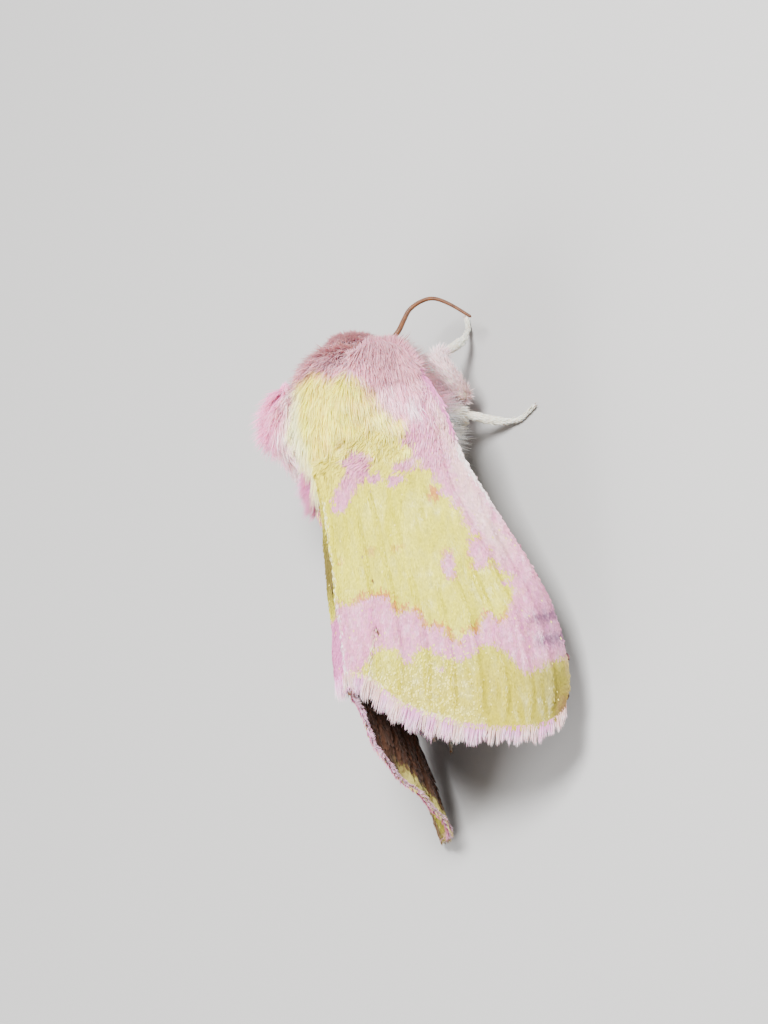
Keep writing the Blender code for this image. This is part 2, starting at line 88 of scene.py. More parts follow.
# Body stations: y, half width, top and bottom of the coat, and the coat's depth over the skin
BODY_POWER = 2.15
BODY_STATIONS = (
    (-8.12, 0.15, 5.2, 4.9, 0.1), (-8.02, 0.62, 5.75, 4.35, 0.18), (-7.75, 1.15, 6.4, 3.85, 0.25),
    (-7.05, 1.7, 7.2, 3.4, 0.35), (-6.75, 2.15, 7.7, 3.05, 0.4), (-5.95, 2.8, 8.3, 2.55, 0.45),
    (-4.6, 3.1, 8.6, 2.05, 0.5), (-3.2, 3.05, 8.6, 1.75, 0.5), (-1.8, 2.45, 8.3, 2.0, 0.5),
    (-0.7, 1.5, 7.5, 2.7, 0.45), (0.1, 1.35, 6.1, 2.5, 0.3), (0.8, 1.5, 5.4, 2.1, 0.25),
    (3.0, 1.45, 4.8, 1.6, 0.22), (5.2, 1.2, 4.2, 1.35, 0.2), (6.8, 0.8, 3.6, 1.5, 0.18),
    (7.45, 0.45, 3.1, 1.8, 0.12), (7.6, 0.12, 2.65, 2.25, 0.08))
ABDOMEN_ASIDE = -0.4

# Colours as they look under white light, 0 to 255
YELLOW = (216, 207, 32)
PALE_YELLOW = (228, 219, 52)
GOLD = (222, 196, 36)
FUR_YELLOW = (255, 230, 36)
FUR_CREAM = (255, 240, 120)
FUR_PINK = (252, 168, 194)
FUR_PALE = (255, 208, 212)
PINK = (226, 128, 186)
PALE_PINK = (240, 190, 216)
MAUVE = (184, 110, 124)
MAGENTA = (222, 92, 160)
CREAM = (238, 228, 205)
WHITE = (244, 240, 234)
ORANGE = (200, 124, 44)
BROWN = (150, 108, 70)
DUSK = (128, 88, 118)
PLUM = (96, 60, 88)
BASE_YELLOW = (250, 232, 84)
# GLINT is the colour of a painted highlight on glinting scales.
GLINT = (255, 240, 120)
BUFF = (244, 214, 190)
PALE_LINE = (255, 240, 190)
OLIVE_SHADE = (130, 120, 40)
TIP_SHADE_BROWN = (128, 84, 60)
LAP_SHADE_BROWN = (92, 70, 42)
RIDGE_STRAW = (255, 246, 176)
RIDGE_BLUSH = (250, 232, 238)
UNDERSIDE_BROWN_AND_SHADE = (112, 76, 52)
UNDERSIDE_DEEP_SHADE = (72, 42, 28)
UNDERSIDE_STRAW = (236, 224, 120)
UNDERSIDE_BLUSH = (244, 208, 212)
HINDWING_STRAW = (226, 208, 176)
HINDWING_DUSK = (176, 142, 122)
FUR_TAN = (206, 156, 62)
FUR_IVORY_HIGHLIGHT = (255, 248, 214)
HOLLOW_SHADE_MAUVE = (174, 112, 134)
ABDOMEN_STRAW = (232, 220, 180)
EYE_BROWN = (24, 17, 12)
EYE_GREEN = (48, 42, 20)


# Numbers

def metres(points):
    """Millimetres in the moth's frame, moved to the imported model's frame, in metres."""
    return (np.asarray(points, float) + CENTRE_SHIFT) * MM


def unit(vectors):
    """The vectors at a length of one."""
    return vectors / np.maximum(np.linalg.norm(vectors, axis=-1, keepdims=True), 1e-12)


def smooth(low, high, value):
    """0 below low and 1 above high, with a smooth step between."""
    t = np.clip((value - low) / (high - low), 0, 1)
    return t * t * (3 - 2 * t)


def linear(colour):
    """A colour's light values from its 0 to 255 look."""
    c = np.asarray(colour, float) / 255
    return np.where(c <= 0.04045, c / 12.92, ((c + 0.055) / 1.055) ** 2.4)


def blend(base, colour, share):
    """Base moved towards a colour by a share for each place."""
    return base + (linear(colour) - base) * np.asarray(share)[..., None]


def ripple(points, size, seed):
    """Smooth unevenness between about -1 and 1: a sum of plane waves in random directions,
    with wavelengths round the given size."""
    rng = np.random.default_rng(seed)
    points = np.asarray(points, float)
    total = np.zeros(points.shape[:-1])
    waves = 9
    for _ in range(waves):
        way = rng.normal(size=points.shape[-1])
        way = way / np.linalg.norm(way) * FULL_TURN / (size * rng.uniform(0.6, 1.6))
        total = total + np.sin(points @ way + rng.uniform(0, FULL_TURN))
    return total / math.sqrt(waves)


def through(points, count):
    """A smooth curve through the points (Catmull-Rom), at even steps of its length."""
    pts = np.asarray(points, float)
    ends = np.vstack([2 * pts[0] - pts[1], pts, 2 * pts[-1] - pts[-2]])
    t = np.linspace(0, 1, 24, endpoint=False)[:, None]
    runs = []
    for i in range(len(pts) - 1):
        a, b, c, d = ends[i:i + 4]
        square = 2 * a - 5 * b + 4 * c - d
        cube = 3 * b - a - 3 * c + d
        runs.append(0.5 * (2 * b + (c - a) * t + square * t ** 2 + cube * t ** 3))
    return along(np.vstack(runs + [pts[-1:]]), np.linspace(0, 1, count))


def along(curve, shares):
    """The places at the given shares of a curve's length."""
    steps = np.linalg.norm(np.diff(curve, axis=0), axis=1)
    reach = np.concatenate([[0.0], np.cumsum(steps)])
    places = np.asarray(shares, float) * reach[-1]
    return np.stack([np.interp(places, reach, column) for column in curve.T], -1)


def spread_evenly(areas, count, seed):
    """Places spread evenly over a grid whose cells have these areas: a sequence of even steps
    by the plastic number, turned into rows and columns through the areas' running sums."""
    rng = np.random.default_rng(seed)
    index = np.arange(count)
    plastic = 1.32471795724
    first = (index / plastic + rng.uniform()) % 1.0
    second = (index / plastic ** 2 + rng.uniform()) % 1.0
    rows = np.concatenate([[0.0], np.cumsum(areas.sum(1))])
    rows = rows / rows[-1]
    row = np.clip(np.searchsorted(rows, first) - 1, 0, areas.shape[0] - 1)
    v = (row + (first - rows[row]) / np.maximum(rows[row + 1] - rows[row], 1e-12))
    runs = np.cumsum(areas, axis=1)
    runs = np.hstack([np.zeros((len(runs), 1)), runs]) / runs[:, -1:]
    picked = runs[row]
    column = np.clip((picked < second[:, None]).sum(1) - 1, 0, areas.shape[1] - 1)
    low = picked[np.arange(count), column]
    high = picked[np.arange(count), column + 1]
    u = column + (second - low) / np.maximum(high - low, 1e-12)
    return u / areas.shape[1], v / areas.shape[0]


# Meshes

def make_piece(name, points, faces, material, colours=None, uv=None, flat=False):
    """A mesh object at the origin that rides on the frame. Faces are rows of an array with
    the same number of corners each; colours are one for each point, and so is uv."""
    points = np.ascontiguousarray(metres(points).reshape(-1, 3), dtype=np.float32)
    faces = np.ascontiguousarray(faces, dtype=np.int32)
    corners = faces.shape[1]
    mesh = bpy.data.meshes.new(name)
    mesh.vertices.add(len(points))
    mesh.vertices.foreach_set("co", points.ravel())
    mesh.loops.add(faces.size)
    mesh.loops.foreach_set("vertex_index", faces.ravel())
    mesh.polygons.add(len(faces))
    mesh.polygons.foreach_set("loop_start", np.arange(0, faces.size, corners, dtype=np.int32))
    mesh.update(calc_edges=True)
    if colours is not None:
        layer = mesh.attributes.new("coat", "FLOAT_COLOR", "POINT")
        rgba = np.ones((len(points), 4), np.float32)
        rgba[:, :3] = np.clip(colours.reshape(-1, 3), 0, 1)
        layer.data.foreach_set("color", rgba.ravel())
    if uv is not None:
        layer = mesh.uv_layers.new(name="OFBake")
        at_corners = uv.reshape(-1, 2)[faces.ravel()].astype(np.float32)
        layer.data.foreach_set("uv", at_corners.ravel())
    mesh.validate()
    if flat:
        mesh.shade_flat()
    else:
        mesh.shade_smooth()
    mesh.materials.append(material)
    item = bpy.data.objects.new(name, mesh)
    bpy.context.scene.collection.objects.link(item)
    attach(item, "root")
    return item


def grid_faces(rows, columns, closed=False):
    """Four-cornered faces of a grid; closed joins the last column to the first."""
    width = columns if closed else columns - 1
    r, c = np.meshgrid(np.arange(rows - 1), np.arange(width), indexing="ij")
    a = (r * columns + c).ravel()
    b = (r * columns + (c + 1) % columns).ravel()
    return np.stack([a, b, b + columns, a + columns], -1)


def shell_faces(rows, columns):
    """A closed shell from an upper grid, a lower grid after it and a rim between them."""
    upper = grid_faces(rows, columns)
    lower = grid_faces(rows, columns)[:, ::-1] + rows * columns
    index = np.arange(rows * columns).reshape(rows, columns)
    edge = np.concatenate([index[0, :-1], index[:-1, -1], index[-1, :0:-1], index[:0:-1, 0]])
    after = np.roll(edge, -1)
    below = rows * columns
    rim = np.stack([after, edge, edge + below, after + below], -1)
    return np.vstack([upper, lower, rim])


def tube_rings(path, radii, sides, flatten=1.0):
    """Rings round a path: each stands square to it, turned as little as can be from the one
    before; the radius may differ at each, and flatten thins it upwards."""
    path = np.asarray(path, float)
    ways = unit(np.gradient(path, axis=0))
    across = np.empty_like(path)
    start = np.cross(ways[0], (0.0, 0.0, 1.0))
    across[0] = unit(start if np.linalg.norm(start) > 0.1 else np.array([1.0, 0.0, 0.0]))
    for i in range(1, len(path)):
        across[i] = unit(across[i - 1] - ways[i] * (across[i - 1] @ ways[i]))
    over = np.cross(across, ways)
    turn = np.arange(sides) * FULL_TURN / sides
    spread = across[:, None] * np.cos(turn)[:, None] + over[:, None] * np.sin(turn)[:, None] * flatten
    return path[:, None] + spread * np.asarray(radii)[:, None, None]


def tube_mesh(rings):
    """Points and triangles of a closed tube with a point in the middle of each end."""
    count, sides = rings.shape[:2]
    points = np.vstack([rings.reshape(-1, 3), rings[0].mean(0), rings[-1].mean(0)])
    walls = grid_faces(count, sides, closed=True)
    walls = np.vstack([walls[:, [0, 2, 1]], walls[:, [0, 3, 2]]])
    ring = np.arange(sides)
    beside = (ring + 1) % sides
    first = np.stack([ring, beside, np.full(sides, count * sides)], -1)
    last_ring = (count - 1) * sides
    last = np.stack([last_ring + beside, last_ring + ring, np.full(sides, count * sides + 1)], -1)
    return points, np.vstack([walls, first, last])


def join_meshes(parts):
    """Several meshes' points, faces and colours put into one mesh's."""
    points = []
    faces = []
    colours = []
    start = 0
    for part_points, part_faces, part_colours in parts:
        points.append(part_points)
        faces.append(part_faces + start)
        colours.append(part_colours)
        start += len(part_points)
    return np.vstack(points), np.vstack(faces), np.vstack(colours)


HAIR_SHARES = np.array([0.0, 0.52])
HAIR_GIRTHS = np.array([0.8, 1.0])
HAIR_TURNS = np.radians([90.0, 210.0, 330.0])
HAIR_FLATNESS = 0.36
BODY_HAIR_WIDTH = 0.043
WING_HAIR_WIDTH = 0.046
TUFT_HAIR_WIDTH = 0.044
SIDE_TUFT_HAIR_WIDTH = 0.045
SHORT_HAIR_WIDTH = 0.042
PALP_HAIR_WIDTH = 0.032
LEG_SCALE_WIDTH = 0.07
TUFT_PATCH = 0.003
UNWRAP_SHARE = 0.99


def hair_faces(count):
    """Triangles of many hairs of seven points each: two rings of three, and a tip."""
    walls = []
    for corner in range(3):
        after = (corner + 1) % 3
        walls += [(corner, after, after + 3), (corner, after + 3, corner + 3),
                  (corner + 3, after + 3, 6)]
    one = np.array([(0, 2, 1)] + walls)
    return (one[None] + 7 * np.arange(count)[:, None, None]).reshape(-1, 3)


def hairs(name, material, roots, ways, ups, lengths, widths, droops, low, high, spots):
    """Tapering hairs or flat hair scales. Each leaves its root along its way and bends down
    from its up direction by the square of the way along it, times its droop. Its colour goes
    from low at the root to high at the tip, and spots are the roots' places on the unwrap."""
    count = len(roots)
    across = unit(np.cross(ways, ups))
    over = np.cross(across, ways)
    reach = lengths[:, None, None]
    shares = HAIR_SHARES[None, :, None]
    middle = roots[:, None] + ways[:, None] * reach * shares
    middle = middle - ups[:, None] * reach * droops[:, None, None] * shares ** 2
    girth = widths[:, None, None, None] / 2 * HAIR_GIRTHS[None, :, None, None]
    sideways = across[:, None, None] * np.cos(HAIR_TURNS)[:, None]
    upwards = over[:, None, None] * np.sin(HAIR_TURNS)[:, None] * HAIR_FLATNESS
    rings = middle[:, :, None] + girth * (sideways + upwards)
    tips = roots + ways * lengths[:, None] - ups * (lengths * droops)[:, None]
    points = np.concatenate([rings.reshape(count, 6, 3), tips[:, None]], 1)
    shares_of_points = np.concatenate([np.repeat(HAIR_SHARES, 3), [1.0]])
    colours = low[:, None] + (high - low)[:, None] * shares_of_points[None, :, None] ** 2
    corner = np.concatenate([np.tile([0.0, 0.5, 1.0], 2), [0.5]])
    patch = np.stack([corner, shares_of_points], -1) * TUFT_PATCH
    uv = spots[:, None] * UNWRAP_SHARE + patch[None]
    return make_piece(name, points, hair_faces(count), material, colours, uv, flat=True)


SCALE_FACES = np.array([(0, 2, 3), (0, 3, 1), (0, 1, 4), (1, 3, 4), (3, 2, 4), (2, 0, 4)])
SCALE_CORNERS = np.array([(0.5, 0), (0, 0.6), (1, 0.6), (0.5, 1), (0.5, 0.6)])
# Each scale's points are painted darker at the root and at the point below, and lighter at the tip:
# painted shade and painted highlight.
SCALE_PAINTED_SHADING = np.array([0.9, 1.0, 1.0, 1.06, 0.8])


def scales(name, material, roots, ways, ups, lengths, widths, tilt, colours, spots):
    """Flat pointed scales like shingles: a narrow root, broad shoulders and a tip that stands
    off the wing by the tilt, closed below by one point."""
    count = len(roots)
    across = unit(np.cross(ways, ups))
    long = lengths[:, None]
    wide = widths[:, None] / 2
    rise = long * tilt[:, None]
    shoulder = roots + ways * long * 0.62 + ups * (rise * 0.6 + 0.004)
    tip = roots + ways * long + ups * rise
    below = roots + ways * long * 0.6 - ups * 0.012
    points = np.stack([roots, shoulder - across * wide, shoulder + across * wide, tip, below], 1)
    faces = (SCALE_FACES[None] + 5 * np.arange(count)[:, None, None]).reshape(-1, 3)
    uv = spots[:, None] * UNWRAP_SHARE + SCALE_CORNERS[None] * TUFT_PATCH
    # Painted shade and painted highlight on each scale's points.
    tones = colours[:, None] * SCALE_PAINTED_SHADING[None, :, None]
    return make_piece(name, points, faces, material, tones, uv, flat=True)


# Materials

class Finish:
    """A material's nodes, wired by short calls."""

    def __init__(self, name, roughness, **constants):
        self.material = bpy.data.materials.new(name)
        self.material.use_nodes = True
        self.tree = self.material.node_tree
        self.shader = self.tree.nodes["Principled BSDF"]
        self.shader.inputs["Roughness"].default_value = roughness
        for socket, value in constants.items():
            self.shader.inputs[socket.replace("_", " ")].default_value = value
        self.coordinates = self.tree.nodes.new("ShaderNodeTexCoord").outputs["Object"]

    def node(self, kind, settings=(), **inputs):
        """A node with its settings, and its inputs set to values or joined to sockets."""
        made = self.tree.nodes.new(kind)
        for key, value in settings:
            setattr(made, key, value)
        for key, value in inputs.items():
            self.feed(made.inputs[key.replace("_", " ")], value)
        return made

    def feed(self, socket, value):
        """Join a socket to another, or set it to a constant."""
        if isinstance(value, bpy.types.NodeSocket):
            self.tree.links.new(value, socket)
        else:
            socket.default_value = value

    def noise(self, size, detail=3.0):
        """Noise whose features are about the given size in millimetres."""
        texture = self.node("ShaderNodeTexNoise", Vector=self.coordinates,
                            Scale=1.0 / (size * MM), Detail=detail)
        return texture.outputs["Fac"]

    def spans(self, value, low, high, to_low, to_high):
        """A value's span stretched onto another."""
        ranged = self.node("ShaderNodeMapRange")
        self.feed(ranged.inputs["Value"], value)
        self.feed(ranged.inputs["From Min"], low)
        self.feed(ranged.inputs["From Max"], high)
        self.feed(ranged.inputs["To Min"], to_low)
        self.feed(ranged.inputs["To Max"], to_high)
        return ranged.outputs["Result"]

    def coat(self):
        """The colour worked out for each point of the piece."""
        return self.node("ShaderNodeAttribute", settings=(("attribute_name", "coat"),)).outputs["Color"]

    def brighter(self, colour, amount):
        """A colour with its lightness times an amount."""
        return self.node("ShaderNodeHueSaturation", Color=colour, Value=amount).outputs["Color"]

    def mixed(self, share, first, second):
        """The first colour moved to the second by a share."""
        mix = self.node("ShaderNodeMix", settings=(("data_type", "RGBA"),))
        self.feed(mix.inputs["Factor"], share)
        self.feed(mix.inputs["A"], first)
        self.feed(mix.inputs["B"], second)
        return mix.outputs["Result"]

    def bump(self, height, strength, distance):
        """Fine relief in the shading; the distance is in millimetres."""
        made = self.node("ShaderNodeBump", Strength=strength, Distance=distance * MM, Height=height)
        self.feed(self.shader.inputs["Normal"], made.outputs["Normal"])

    def paint(self, colour):
        """Give the surface its colour."""
        self.feed(self.shader.inputs["Base Color"], colour)


def fur_finish(name, clump, sheen):
    """Fur: the coat's own colour, uneven from lock to lock and hair to hair, soft and dull."""
    finish = Finish(name, 0.72, Sheen_Weight=sheen, Sheen_Roughness=0.5, Specular_IOR_Level=0.25,
                    Subsurface_Weight=0.25, Subsurface_Scale=0.0005)
    uneven = finish.spans(finish.noise(clump), 0.3, 0.7, 0.9, 1.1)
    finish.paint(finish.brighter(finish.coat(), uneven))
    return finish.material


def scale_finish(name, roughness, gloss):
    """Wing scales: their own colour with a fine grain, and a satin gloss that comes and goes."""
    finish = Finish(name, roughness, Sheen_Weight=0.06, Sheen_Roughness=0.4,
                    Specular_IOR_Level=gloss)
    grain = finish.spans(finish.noise(0.12, 4.0), 0.3, 0.7, 0.65, 0.81)
    finish.paint(finish.brighter(finish.coat(), grain))
    shine = finish.spans(finish.noise(0.5), 0.4, 0.65, roughness + 0.1, roughness - 0.12)
    finish.feed(finish.shader.inputs["Roughness"], shine)
    finish.bump(finish.noise(0.05), 0.35, 0.01)
    return finish.material


def eye_finish():
    """A compound eye: dark and glossy, with a fine net of facets in the surface."""
    finish = Finish("eye_dark_gloss", 0.24, Coat_Weight=0.35, Coat_Roughness=0.1)
    facets = finish.node("ShaderNodeTexVoronoi", settings=(("feature", "F1"),),
                         Vector=finish.coordinates, Scale=1.0 / (0.045 * MM))
    patches = finish.spans(finish.noise(0.6), 0.4, 0.6, 0.0, 1.0)
    dark = (*linear(EYE_BROWN), 1.0)
    green = (*linear(EYE_GREEN), 1.0)
    finish.paint(finish.mixed(patches, dark, green))
    finish.bump(facets.outputs["Distance"], 0.35, 0.02)
    return finish.material


def horn_finish(name, base, worn, roughness):
    """Bare horny surface, as on feelers, claws and the tongue: brown with paler patches."""
    finish = Finish(name, roughness, Coat_Weight=0.1, Coat_Roughness=0.3)
    patches = finish.spans(finish.noise(0.25), 0.35, 0.65, 0.0, 1.0)
    finish.paint(finish.mixed(patches, (*linear(base), 1.0), (*linear(worn), 1.0)))
    finish.bump(finish.noise(0.06), 0.3, 0.01)
    return finish.material


# Wings

class Roof:
    """The surface that one folded forewing lies on.

    The roof falls at `eaves` degrees at the ridge and steeper outwards, by `curl` degrees
    within the first `spread` of q; both change from the wing's base to its tip, the first
    with the share of that way raised to a power. `sweep` draws the tip back, `tuck` slides
    the wing over the ridge, and `flare` bends its front edge out again, in degrees. A wing
    that reaches past the ridge laps over it, down the other side.
    """

    def __init__(self, side, eaves, curl, spread, sweep=0.0, tuck=0.0, flare=0.0):
        self.side = side
        self.eaves = eaves
        self.curl = curl
        self.spread = spread
        self.sweep = sweep
        self.tuck = tuck
        self.flare = math.radians(flare)

    def place(self, q, p):
        """Add up the slope's cosine and sine along q, by Gauss-Legendre's rule."""
        back = np.clip((p - ROOF_FRONT_P) / (ROOF_BACK_P - ROOF_FRONT_P), 0, 1)
        first, last, power = self.eaves
        eaves = np.radians(first + (last - first) * back ** power)
        curl = np.radians(self.curl[0] + (self.curl[1] - self.curl[0]) * back)
        q = q - self.tuck * np.clip(1.6 * back - 0.4, 0, 1)
        lap = np.clip(-q, 0, None)
        q = np.clip(q, 0, None)
        x = -lap * math.cos(math.radians(LAP_SLOPE))
        z = -lap * math.sin(math.radians(LAP_SLOPE))
        for node, weight in zip(*np.polynomial.legendre.leggauss(10)):
            reach = q * (node + 1) / 2
            slope = eaves + curl * (1 - np.exp(-reach / self.spread))
            slope = slope - self.flare * back * np.clip((reach - 5) / 3, 0, 1)
            x = x + weight * q / 2 * np.cos(slope)
            z = z - weight * q / 2 * np.sin(slope)
        y = p + self.sweep * back * q / SWEEP_REACH
        return np.stack([self.side * x, y, RIDGE_Z + z], -1)

    def normal(self, q, p):
        """The direction out of the roof, from steps along q and p."""
        step = 0.03
        across = self.place(q + step, p) - self.place(q - step, p)
        back = self.place(q, p + step) - self.place(q, p - step)
        return unit(np.cross(across, back) * self.side)


ROOFS = {"right": Roof(-1, (20.0, 26.0, 1.0), (106.0, 113.0), 30.0),
         "left": Roof(+1, (10.0, 34.0, 0.5), (16.0, 45.0), 0.5, sweep=1.39, tuck=0.37, flare=49.0)}


def patch(edges, u, v):
    """The flat patch inside four edges, u across and v back: both pairs of edges blended,
    less the blend of the four corners that they share. u and v have the same shape."""
    base, outer = edges[:2]
    shares = np.linspace(0, 1, 200)
    base_line, outer_line, inner_line, costa_line = (along(edge, shares) for edge in edges)

    def at(line, share):
        return np.stack([np.interp(share, shares, column) for column in line.T], -1)

    uu = u[..., None]
    vv = v[..., None]
    front_corners = (1 - uu) * base[0] + uu * base[-1]
    back_corners = (1 - uu) * outer[0] + uu * outer[-1]
    corners = (1 - vv) * front_corners + vv * back_corners
    lengthways = (1 - vv) * at(base_line, u) + vv * at(outer_line, u)
    crossways = (1 - uu) * at(inner_line, v) + uu * at(costa_line, v)
    return lengthways + crossways - corners


def thorax_bay(reach, front_p, inner_q):
    """A quarter of an ellipse round the back of the thorax, down to the inner margin."""
    turn = np.linspace(0, math.pi / 2, 24)
    bay = np.stack([reach[0] * np.cos(turn), front_p + reach[1] * np.sin(turn)], -1)
    bay = bay[bay[:, 0] > inner_q + 0.1]
    return np.vstack([bay, [(inner_q, bay[-1, 1] + 0.3)]])


def forewing_edges(label):
    """The flat forewing's base, outer edge, inner margin and costa, without its fringe."""
    front_q, back_q = FORE_INNER_Q[label]
    bay = THORAX_BAY[label]
    reach = OUTER_REACH[label]
    tornus = (back_q, 7.9 + reach)
    apex = APEX[label]
    hinge = (FORE_HINGE[label], WING_BASE_P)
    inner = np.vstack([thorax_bay(bay, WING_BASE_P, front_q), [tornus]])
    costa = through([*FORE_COSTA, apex], 80)
    costa[0] = hinge
    middle = [(q, p + reach) for q, p in FORE_OUTER]
    outer = through([tornus, *middle, apex], 80)
    base = np.linspace((bay[0], WING_BASE_P), hinge, 5)
    return base, outer, inner, costa


def hindwing_edges(label):
    """The flat hindwing's four edges: a smaller fan, folded under the forewing."""
    inner_q = HIND_INNER_Q[label]
    reach = HIND_BAY[label]
    hinge = (reach[0] + 0.35, HIND_BASE_P)
    tip = (7.0, 7.8)
    inner = np.vstack([thorax_bay(reach, HIND_BASE_P, inner_q), [(inner_q, 7.5)]])
    costa = through([hinge, (5.9, -0.6), (6.6, 2.5), (7.1, 5.5), tip], 60)
    outer = through([(inner_q, 7.5), (inner_q + 1.5, 8.7), (4.9, 9.2), (6.2, 8.9), tip], 60)
    base = np.linspace((reach[0], HIND_BASE_P), hinge, 5)
    return base, outer, inner, costa


# Wing markings on the flat wing: outlines as (q, p), ovals as (q, p, half width, half length)
COSTAL_BAND = ((3.0, -4.7), (3.05, -3.5), (3.6, -3.2), (3.95, -2.4), (4.35, -1.2), (5.0, -0.3),
               (5.4, 0.85), (6.05, 2.0), (6.35, 2.95), (7.1, 4.4), (7.6, 5.0), (7.7, 5.7))
CREAM_STREAK = ((5.9, -2.6), (6.15, -1.3), (6.4, 0.6), (6.9, 2.25), (7.55, 3.7))
ANTEMEDIAL_SPOTS = ((2.0, -1.2, 0.68, 0.78), (1.4, -0.6, 0.5, 0.5), (1.0, -0.05, 0.42, 0.55),
                    (0.75, 0.4, 0.32, 0.3), (2.6, -0.5, 0.3, 0.28), (3.5, -0.22, 0.34, 0.28),
                    (4.0, -0.8, 0.42, 0.34))
KIDNEY_MARKS = ((6.6, 3.7, 0.5, 0.7), (5.2, 4.05, 0.3, 0.6))
ROUND_MARK = (4.98, 0.8, 0.3, 0.42)
FAINT_MARKS = ((1.92, 2.7, 0.32, 0.26), (3.1, 2.85, 0.45, 0.2), (0.5, 2.9, 0.2, 0.2))
BAND_FRONT = ((-0.2, 5.2), (0.0, 4.5), (0.3, 4.75), (0.55, 4.9), (0.85, 4.9), (1.1, 4.78), (1.35, 4.7),
              (1.7, 4.78), (2.1, 4.86), (2.4, 4.95), (2.52, 5.3), (2.6, 5.7), (2.85, 5.82), (3.1, 5.67),
              (3.45, 5.75), (3.68, 6.05), (3.76, 6.5), (3.92, 6.72), (4.2, 6.66), (4.5, 6.78),
              (4.73, 7.1), (4.88, 7.45), (5.2, 7.52), (5.4, 7.24), (5.72, 7.16), (6.02, 7.27),
              (6.15, 6.92), (6.4, 6.58), (6.76, 6.6), (6.9, 7.0), (7.12, 6.95), (7.4, 6.5), (7.7, 5.9),
              (9.6, 5.2))
BAND_BACK = ((-0.1, 9.5), (0.08, 8.6), (0.34, 8.04), (0.85, 7.86), (1.2, 7.56), (1.5, 7.18), (2.0, 7.16),
             (2.48, 7.35), (2.58, 7.9), (2.82, 8.12), (3.1, 8.0), (3.27, 7.5), (3.65, 7.54),
             (4.12, 7.92), (4.6, 8.2), (5.17, 8.39), (5.54, 8.3), (5.89, 7.96), (6.42, 7.84),
             (6.82, 8.15), (7.21, 8.46), (7.5, 9.1), (7.8, 9.36), (8.4, 9.2), (9.04, 8.96), (9.6, 8.8))
STRAY_SPOT = (4.2, 8.6, 0.14, 0.14)
CREASE = ((1.63, 6.3), (0.9, 8.9))
DARK_STREAKS = (((8.0, 7.1), (9.6, 6.86)), ((8.5, 7.98), (9.6, 7.9)))


def oval(q, p, mark):
    """How far each place is inside an oval: 1 in the middle, 0 on its line, negative past it."""
    middle_q, middle_p, half_q, half_p = mark
    return 1 - np.hypot((q - middle_q) / half_q, (p - middle_p) / half_p)


def from_line(q, p, ends):
    """The distance of each place from a straight line between two ends."""
    start, end = np.array(ends, float)
    way = end - start
    share = np.clip(((q - start[0]) * way[0] + (p - start[1]) * way[1]) / (way @ way), 0, 1)
    return np.hypot(q - start[0] - share * way[0], p - start[1] - share * way[1])


def from_path(q, p, points):
    """The distance of each place from a broken line."""
    gaps = [from_line(q, p, ends) for ends in zip(points[:-1], points[1:])]
    return np.min(gaps, axis=0)


def q_on(line, p):
    """How far across a line of (q, p) is at each p."""
    across, back = np.transpose(line)
    return np.interp(p, back, across)


def p_on(line, q):
    """How far back a line of (q, p) is at each q."""
    across, back = np.transpose(line)
    return np.interp(q, across, back)


def forewing_ground(q, p):
    """The yellow ground: paler in streaks, warm at the base, golden and darker behind."""
    flat = np.stack([q, p], -1)
    ground = np.broadcast_to(linear(YELLOW), (*q.shape, 3)).copy()
    ground = blend(ground, PALE_YELLOW, 0.35 + 0.3 * ripple(flat * (1.0, 0.3), 1.1, 5))
    ground = blend(ground, BASE_YELLOW, 0.6 * smooth(0.6, -1.6, p))
    ground = blend(ground, GOLD, 0.4 * smooth(7.4, 9.5, p))
    return ground * (1 - 0.2 * smooth(7.0, 8.4, p))[..., None]


def orange_rims(q, p, behind, rough):
    """How orange each place is: along the band's front, round the kidney marks, and in the
    small marks."""
    flat = np.stack([q, p], -1)
    rim = smooth(0.18, 0.05, np.abs(behind + 0.08)) * 0.95
    rim = rim * smooth(0.3, 0.9, q) * smooth(7.6, 7.0, q)
    rim = rim * smooth(-1.1, -0.1, ripple(flat, 0.9, 6))
    for mark in KIDNEY_MARKS:
        rim = np.maximum(rim, smooth(0.2, 0.02, np.abs(oval(q, p, mark) + rough)) * 0.6)
    rim = np.maximum(rim, smooth(-0.1, 0.5, oval(q, p, ROUND_MARK) + rough) * 0.95)
    for mark in FAINT_MARKS:
        rim = np.maximum(rim, smooth(-0.1, 0.8, oval(q, p, mark)) * 0.5)
    return rim


def crease_tones(colours, q, p):
    """The crease: painted brown shade on its outer side, and a painted pale highlight on its inner side.
    """
    gap = from_line(q, p, CREASE)
    beside = q - q_on(CREASE, p)
    # Painted shade beside the fold on its outer side, and painted highlight on its inner side.
    colours = blend(colours, BROWN, smooth(0.12, 0.02, gap) * (beside > 0) * 0.6)
    return blend(colours, PALE_LINE, smooth(0.12, 0.04, gap) * (beside < 0) * 0.8)


def front_edge_tones(colours, q, p):
    """Along the front edge: pink, white and mauve by turns, then painted dusky shade along the edge,
    painted olive shade in the outer corner and painted brown shade at the tip.
    """
    inside = q_on(FORE_COSTA, p) - q
    edge = smooth(0.2, 0.08, inside) * smooth(11.0, 9.0, p)
    colours = blend(colours, WHITE, edge * smooth(3.0, 1.0, p) * smooth(-2.0, -1.2, p) * 0.8)
    colours = blend(colours, PINK, edge * smooth(-1.2, -2.0, p))
    colours = blend(colours, MAUVE, edge * smooth(1.0, 4.0, p) * 0.5)
    # Painted shade: dusky along the front edge, where the wing turns away from the light.
    shade = smooth(1.1, 0.1, inside) * smooth(4.6, 6.2, p) * smooth(9.6, 8.2, p)
    colours = blend(colours, DUSK, shade * 0.4)
    # Painted shade: olive in the outer corner by the front edge.
    corner = smooth(2.8, 0.1, inside) * smooth(8.2, 9.6, p)
    colours = blend(colours, OLIVE_SHADE, corner * 0.85)
    # Painted shade: brown at the wing's tip.
    tip = smooth(1.0, 0.2, inside) * smooth(9.8, 11.2, p)
    return blend(colours, TIP_SHADE_BROWN, tip * 0.8)


